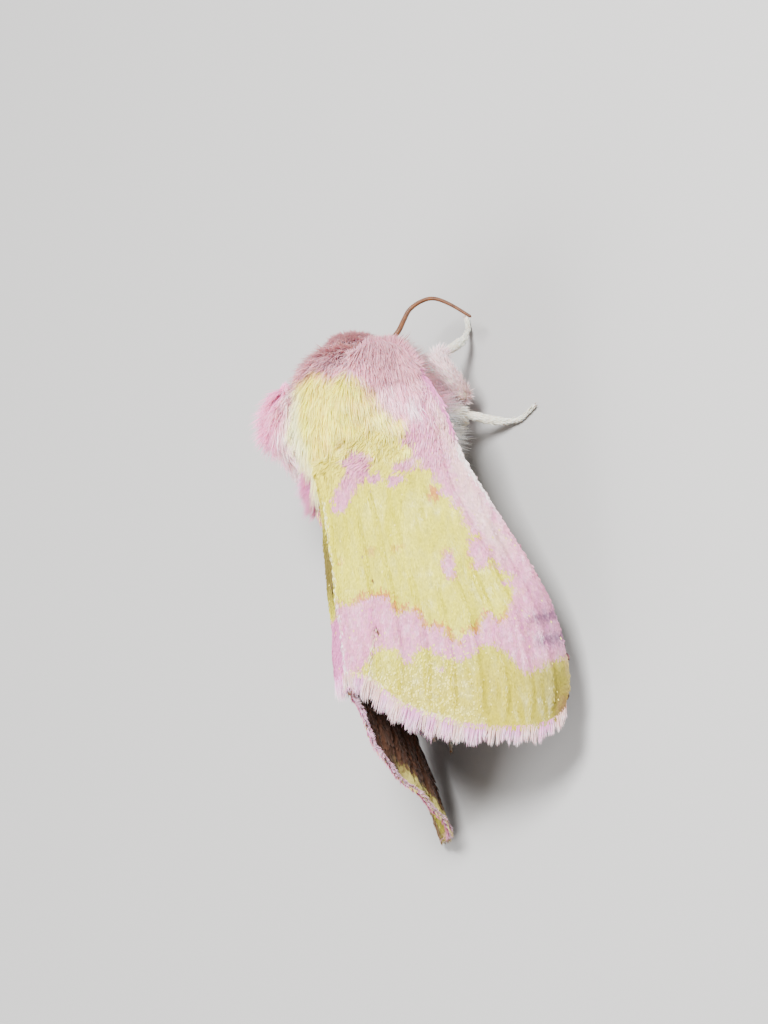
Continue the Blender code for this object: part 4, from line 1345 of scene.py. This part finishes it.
def pink_only(roots):
    """One pink for every hair."""
    return np.broadcast_to(linear(PINK), roots.shape)


def shoulder_place(u, v):
    """A place on the left wing's roof, at q and p."""
    return ROOFS["left"].place(*np.broadcast_arrays(u, v))


def shoulder_spot(u, v):
    """The places of roots on the unwrap, from q and p."""
    return np.stack([u, v + 3], -1) / 4


def build_tegulae(materials):
    """Each tegula: a thin pad over the shoulder, long fur that lies back over the wing, a
    lining below it and a short rim; and the pink tuft on the left shoulder."""
    for label, side in SIDES.items():
        name = "tegula_" + label
        points, faces = tegula_pad(side, label)
        pad = make_piece(name + "_pad", points, faces, materials["skin"], tegula_colours(points))
        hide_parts("tegula_" + label)
        above = partial(tegula_place, side, label)
        below = partial(tegula_place, side, label, under=True)
        lie = partial(tegula_lie, side)
        around = (0, FULL_TURN) if side > 0 else (FULL_TURN, 0)
        coat = fur(name + "_fur", above, around, (0.03, 0.98), 6100, tegula_length,
                   tegula_raise, WING_HAIR_WIDTH, lie, tegula_colours, tegula_spot,
                   materials["fur"], 80 + side)
        lining = fur(name + "_lining", below, around[::-1], (0.25, 0.99), 1600, always(0.7),
                     always(30.0), WING_HAIR_WIDTH, lie, tegula_colours, tegula_spot,
                     materials["fur"], 90 + side)
        rim = fur(name + "_rim_fur", above, around, (0.9, 1.0), 1100, always(0.45), always(8.0),
                  SHORT_HAIR_WIDTH, partial(tegula_outwards, side), tegula_colours,
                  tegula_spot, materials["fur"], 95 + side)
    tuft = fur("shoulder_tuft_left", shoulder_place, (3.1, 1.8), (-2.5, -0.9), 1300,
               always(1.05), always(54.0), TUFT_HAIR_WIDTH, lie_back, pink_only,
               shoulder_spot, materials["fur"], 93)


# Head

ANTENNA = ((1.45, -7.2, 4.9), (1.8, -7.3, 4.75), (2.1, -7.5, 4.55), (2.22, -7.8, 4.3),
           (2.15, -8.4, 3.85), (2.2, -8.95, 3.45), (2.6, -9.25, 3.06), (3.1, -9.23, 2.75),
           (3.6, -8.83, 2.31), (4.15, -8.1, 1.64))
PALP = ((0.42, -7.1, 3.1), (0.46, -7.45, 2.8), (0.46, -7.8, 2.8), (0.42, -8.05, 2.98),
        (0.38, -8.12, 3.3))
TONGUE_MIDDLE = (0.0, -7.98, 3.3)
TONGUE_TURNS = 2.5
FEELER_RINGS = 62


def build_eyes(materials):
    """Each eye: a ball of two angles, a little taller than wide."""
    for label, side in SIDES.items():
        rise, turn = np.meshgrid(np.linspace(-0.497, 0.497, 40) * math.pi,
                                 np.arange(64) * math.pi / 32, indexing="ij")
        ball = np.stack([np.cos(rise) * np.cos(turn), np.cos(rise) * np.sin(turn),
                         EYE_TALLNESS * np.sin(rise)], -1) * EYE_RADIUS
        points, faces = tube_mesh(ball + EYE_CENTRE * (side, 1, 1))
        eye = make_piece("eye_" + label + "_ball", points, faces[:, ::-1], materials["eye"])
        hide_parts("eye_" + label)


def build_antennae(materials):
    """Each feeler: a thicker first joint, then a thread of short ring-like joints."""
    for label, side in SIDES.items():
        path = through(np.array(ANTENNA) * (side, 1, 1), 420)
        share = np.linspace(0, 1, len(path))
        ringed = 1 + 0.1 * np.sin(share * FULL_TURN * FEELER_RINGS)
        radius = (0.12 - 0.055 * share) * ringed
        radius = radius + 0.09 * np.exp(-((share - 0.03) / 0.035) ** 2)
        radius = radius * smooth(1.004, 0.985, share) + 0.004
        points, faces = tube_mesh(tube_rings(path, radius, 10))
        feeler = make_piece("antenna_" + label + "_thread", points, faces, materials["feeler"])
        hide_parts("antenna_" + label)


def build_palps(materials):
    """Each palp: a short curved core with brushy fur that points forward and up."""
    for label, side in SIDES.items():
        path = through(np.array(PALP) * (side, 1, 1), 40)
        radius = np.interp(np.linspace(0, 1, 40), (0, 0.3, 0.7, 0.97, 1), (0.1, 0.16, 0.17, 0.07, 0.01))
        points, faces = tube_mesh(tube_rings(path, radius, 12))
        tint = np.broadcast_to(linear(MAUVE) * 0.6, points.shape)
        core = make_piece("palp_" + label + "_core", points, faces, materials["skin"], tint)
        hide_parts("palp_" + label)
        coat = limb_fur("palp_" + label + "_fur", path, radius, 1100, 0.42, 34,
                        PALP_HAIR_WIDTH, MAUVE, PALE_PINK, materials["fur"], 100 + side)


def build_tongue(materials):
    """The coiled tongue between the palps: a flat spiral tube of two and a half turns."""
    turn = np.linspace(0, TONGUE_TURNS * FULL_TURN, 150)
    reach = 0.05 + 0.17 * turn / turn[-1]
    x, y, z = TONGUE_MIDDLE
    path = np.stack([np.full_like(turn, x), y - reach * np.cos(turn), z + reach * np.sin(turn)], -1)
    points, faces = tube_mesh(tube_rings(path, np.linspace(0.03, 0.05, 150), 8))
    tongue = make_piece("tongue_coil", points, faces, materials["tongue"])


# Legs

LEG_PATHS = {
    "foreleg": ((1.6, -6.2, 2.3), (1.75, -5.95, 1.6), (2.25, -5.2, 1.35), (2.75, -4.95, 1.6),
                (2.98, -5.35, 2.15), (2.9, -6.0, 2.6), (2.78, -6.55, 2.68), (2.75, -6.97, 2.02),
                (2.67, -7.64, 1.0), (2.5, -8.2, 0.45), (2.35, -8.65, 0.18), (2.2, -9.15, 0.12)),
    "midleg": ((1.35, -3.95, 1.7), (1.6, -3.9, 1.25), (1.85, -3.85, 1.15), (2.45, -3.9, 1.75),
               (2.9, -3.92, 2.15), (3.3, -3.7, 1.6), (3.67, -3.47, 0.9), (4.14, -3.31, 0.4),
               (4.8, -3.24, 0.18), (5.75, -3.48, 0.12)),
    "hindleg": ((1.1, -2.2, 1.9), (1.25, -2.0, 1.45), (1.6, -1.5, 1.2), (2.2, -0.5, 1.5),
                (2.6, 0.7, 1.85), (2.75, 2.3, 1.45), (2.8, 4.4, 0.9), (2.8, 6.2, 0.4),
                (2.75, 7.6, 0.18), (2.7, 9.9, 0.12))}
# Where each leg's joints are, as shares of its length: coxa, femur, tibia and tarsus
LEG_JOINTS = {"foreleg": (0.19, 0.56, 0.8), "midleg": (0.16, 0.41, 0.72), "hindleg": (0.12, 0.36, 0.72)}
LEG_RADII = {"foreleg": (0.3, 0.3, 0.2, 0.1), "midleg": (0.3, 0.26, 0.2, 0.1),
             "hindleg": (0.3, 0.28, 0.2, 0.1)}
SPUR_SHARES = {"foreleg": (), "midleg": (0.7,), "hindleg": (0.56, 0.7)}
LEG_STEPS = 200
LEG_SIDES = 12
# The thigh fur of each leg: its hairs, their length and their colour at the root
THIGH_FUR = {"foreleg": (2300, 0.6, FUR_PALE), "midleg": (1000, 0.4, CREAM),
             "hindleg": (1000, 0.4, CREAM)}


def leg_radius(share, joints, radii):
    """A leg's radius along it: each part swells in its middle and narrows at the joints, and
    the tarsus has five short parts."""
    ends = (0.0, *joints, 1.0)
    radius = np.zeros_like(share)
    for start, end, size in zip(ends[:-1], ends[1:], radii):
        inside = (share >= start) & (share <= end)
        t = np.clip((share - start) / (end - start), 0, 1)
        swell = size * (0.62 + 0.38 * np.sin(math.pi * t) ** 0.7)
        if size == radii[-1]:
            swell = size * (0.78 + 0.3 * (t * 5 % 1.0)) * (1 - 0.25 * t)
        radius = np.where(inside, swell, radius)
    return radius * smooth(1.001, 0.99, share) + 0.004


def limb_fur(name, path, radius, count, length, raised, width, low, high, material, seed,
             span=(0.0, 1.0)):
    """Hairs or scales round a limb, lying towards its end, over a span of its length."""
    rng = np.random.default_rng(seed)
    share = rng.uniform(*span, count)
    place = share * (len(path) - 1)
    index = np.clip(place.astype(int), 0, len(path) - 2)
    part = (place - index)[:, None]
    centre = path[index] * (1 - part) + path[index + 1] * part
    backs = unit(path[index + 1] - path[index])
    girth = np.interp(share, np.linspace(0, 1, len(path)), radius)
    around = rng.normal(size=(count, 3))
    outs = unit(around - backs * (around * backs).sum(-1, keepdims=True))
    roots = centre + outs * girth[:, None] * 0.92
    rise = np.radians(raised + rng.normal(0, 6, count))
    ways = unit(backs * np.cos(rise)[:, None] + outs * np.sin(rise)[:, None]
                + rng.normal(0, 0.08, (count, 3)))
    low_colours = np.broadcast_to(linear(low), (count, 3)) * np.exp(rng.normal(0, 0.1, (count, 1)))
    high_colours = blend(low_colours, high, rng.uniform(0.4, 0.9, count))
    spots = np.stack([share, (np.arctan2(outs[:, 2], outs[:, 0]) / FULL_TURN) % 1.0], -1)
    # The roots are painted darker than the rest of each hair: painted shade at the roots.
    return hairs(name, material, roots, ways, outs, length * rng.uniform(0.7, 1.2, count),
                 width * rng.uniform(0.7, 1.3, count), rng.uniform(0.1, 0.3, count),
                 low_colours * 0.85, high_colours, spots)


def spike(start, way, length, radius):
    """A curved spur or claw: a thin cone that bends a little downwards."""
    t = np.linspace(0, 1, 10)
    path = start + way * (length * t)[:, None] + np.outer(t ** 2, (0, 0, -0.25 * length))
    return tube_mesh(tube_rings(path, radius * (1 - 0.9 * t), 6))


def thorn(start, way, length, radius, colour):
    """A spur or claw in one colour, kept over the floor."""
    points, faces = spike(start, way, length, radius)
    points[:, 2] = np.maximum(points[:, 2], 0.01)
    return points, faces, np.broadcast_to(linear(colour), points.shape)


def leg_core(path, radius):
    """The leg's joints in one tube, kept over the floor and brown towards its end."""
    rings = tube_rings(path, radius, LEG_SIDES)
    rings[..., 2] = np.maximum(rings[..., 2], 0.004)
    points, faces = tube_mesh(rings)
    end = smooth(0.86, 1.0, np.linspace(0, 1, LEG_STEPS))
    brown = np.concatenate([np.repeat(end, LEG_SIDES), [0, 1]])
    return points, faces, blend(np.broadcast_to(linear(CREAM), points.shape), BROWN, 0.5 * brown)


def leg_spurs(kind, path, side):
    """The pairs of long spurs on the shin."""
    spurs = []
    for where in SPUR_SHARES[kind]:
        index = int(where * (LEG_STEPS - 1))
        way = unit(path[index + 4] - path[index])
        for lean in (-1, 1):
            lie = unit(way + np.array([0.35 * lean * side, 0.1 * lean, 0.15]))
            spurs.append(thorn(path[index], lie, 0.75, 0.06, CREAM))
    return spurs


def leg_claws(path):
    """The two claws at the leg's end, one leaning to each side."""
    way = unit(path[-1] - path[-8])
    aside = np.cross(way, (0, 0, 1)) * 0.5
    start = path[-3] + (0, 0, 0.05)
    return [thorn(start, unit(way + aside * lean), 0.22, 0.03, BROWN) for lean in (-1, 1)]


def build_leg(kind, label, side, seed, materials):
    """One leg: its joints, spurs and claws in one mesh, its thigh fur and its scales."""
    path = through(np.array(LEG_PATHS[kind]) * (side, 1, 1), LEG_STEPS)
    radius = leg_radius(np.linspace(0, 1, LEG_STEPS), LEG_JOINTS[kind], LEG_RADII[kind])
    parts = [leg_core(path, radius)] + leg_spurs(kind, path, side) + leg_claws(path)
    points, faces, colours = join_meshes(parts)
    name = kind + "_" + label
    leg = make_piece(name + "_joints", points, faces, materials["leg"], colours)
    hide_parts(name)
    knee = LEG_JOINTS[kind][1]
    count, length, colour = THIGH_FUR[kind]
    coat = limb_fur(name + "_thigh_fur", path, radius, count, length, 34, SHORT_HAIR_WIDTH,
                    colour, WHITE, materials["fur"], seed, (0.02, knee))
    coat = limb_fur(name + "_scales", path, radius, 700, 0.26, 10, LEG_SCALE_WIDTH, CREAM,
                    WHITE, materials["fur"], seed + 5, (knee - 0.02, 0.97))


def build_legs(materials):
    """All six legs."""
    for kind in LEG_PATHS:
        for number, (label, side) in enumerate(SIDES.items()):
            build_leg(kind, label, side, 120 + 10 * len(kind) + number, materials)


# Stage

PHOTO_HEIGHT_PX = 1024
PHOTO_PX_PER_MM = 23.0
PICTURE_HEIGHT_MM = PHOTO_HEIGHT_PX / PHOTO_PX_PER_MM
CAMERA_DISTANCE = 220.0
CAMERA_WAY = (-0.6872, 0.342, 0.6409)
CAMERA_RIGHT = (-0.6405, 0.1308, -0.7567)
CAMERA_UP = (-0.3426, -0.9305, 0.1292)
CAMERA_TARGET = (-1.548, 0.838, 6.093)


def set_camera():
    """The camera of the photograph: far off to the moth's right, behind and above, turned so
    that the moth's head is at the top."""
    camera = bpy.data.cameras.new("camera")
    camera.sensor_width = 36.0
    camera.lens = camera.sensor_width * CAMERA_DISTANCE / PICTURE_HEIGHT_MM
    camera.clip_start = 0.01
    camera.clip_end = 10.0
    camera.dof.use_dof = False
    item = bpy.data.objects.new("camera", camera)
    axes = np.array([CAMERA_RIGHT, CAMERA_UP, CAMERA_WAY]).T
    place = metres(np.array(CAMERA_TARGET) + CAMERA_DISTANCE * np.array(CAMERA_WAY))
    matrix = np.eye(4)
    matrix[:3, :3] = axes
    matrix[:3, 3] = place
    item.matrix_world = Matrix(matrix.tolist())
    bpy.context.scene.collection.objects.link(item)
    bpy.context.scene.camera = item


FLOOR_HALF_WIDTH = 600.0
FLOOR_GREY = (0.37, 0.365, 0.36, 1.0)


def set_floor():
    """A plain pale floor, wide enough to fill every view."""
    corners = ((-1, -1, 0), (1, -1, 0), (1, 1, 0), (-1, 1, 0))
    points = np.array(corners) * FLOOR_HALF_WIDTH
    mesh = bpy.data.meshes.new("floor")
    mesh.from_pydata((points * MM).tolist(), [], [(0, 1, 2, 3)])
    material = bpy.data.materials.new("floor_paper")
    material.use_nodes = True
    shader = material.node_tree.nodes["Principled BSDF"]
    shader.inputs["Base Color"].default_value = FLOOR_GREY
    shader.inputs["Roughness"].default_value = 0.9
    mesh.materials.append(material)
    floor = bpy.data.objects.new("floor", mesh)
    bpy.context.scene.collection.objects.link(floor)


LAMP_AIM = (0, 1, 4)


def add_lamp(name, way, distance, size, power):
    """A square area light that far along a way from the moth, turned towards it."""
    lamp = bpy.data.lights.new(name, "AREA")
    lamp.size = size * MM
    lamp.energy = power
    item = bpy.data.objects.new(name, lamp)
    out = unit(np.array(way, float))
    right = unit(np.cross((0.0, 0.0, 1.0), out))
    matrix = np.eye(4)
    matrix[:3, :3] = np.array([right, np.cross(out, right), out]).T
    matrix[:3, 3] = metres(out * distance + LAMP_AIM)
    item.matrix_world = Matrix(matrix.tolist())
    bpy.context.scene.collection.objects.link(item)


SURROUND_COLOUR = (1.0, 0.985, 0.96, 1.0)
SURROUND_STRENGTH = 0.78
KEY_WAY = (-0.5, -0.2, 0.85)
KEY_POWER = 0.92
FILL_WAY = (0.7, 0.6, 0.7)
FILL_POWER = 0.62


def set_light():
    """Soft studio light: a pale surround, a key light near the camera and a fill opposite."""
    world = bpy.data.worlds.new("studio")
    world.use_nodes = True
    background = world.node_tree.nodes["Background"]
    background.inputs["Color"].default_value = SURROUND_COLOUR
    background.inputs["Strength"].default_value = SURROUND_STRENGTH
    bpy.context.scene.world = world
    add_lamp("key_light", KEY_WAY, 160.0, 50.0, KEY_POWER)
    add_lamp("fill_light", FILL_WAY, 200.0, 150.0, FILL_POWER)


def build():
    """Every piece, the camera, the floor and the lights."""
    materials = {
        "scale": scale_finish("forewing_scales_satin", 0.48, 0.36),
        "hind": scale_finish("hindwing_scales_satin", 0.55, 0.35),
        "fringe": fur_finish("fringe_hair", 0.3, 0.2),
        "fur": fur_finish("body_fur_soft", 0.6, 0.25),
        "skin": fur_finish("body_skin_down", 0.3, 0.1),
        "leg": scale_finish("leg_scales_cream", 0.6, 0.3),
        "eye": eye_finish(),
        "feeler": horn_finish("feeler_horn", (76, 40, 12), (108, 62, 24), 0.45),
        "tongue": horn_finish("tongue_horn", (120, 74, 30), (160, 104, 50), 0.35)}
    build_wings(materials)
    build_body(materials)
    build_tegulae(materials)
    build_eyes(materials)
    build_antennae(materials)
    build_palps(materials)
    build_tongue(materials)
    build_legs(materials)
    set_camera()
    set_floor()
    set_light()


build()
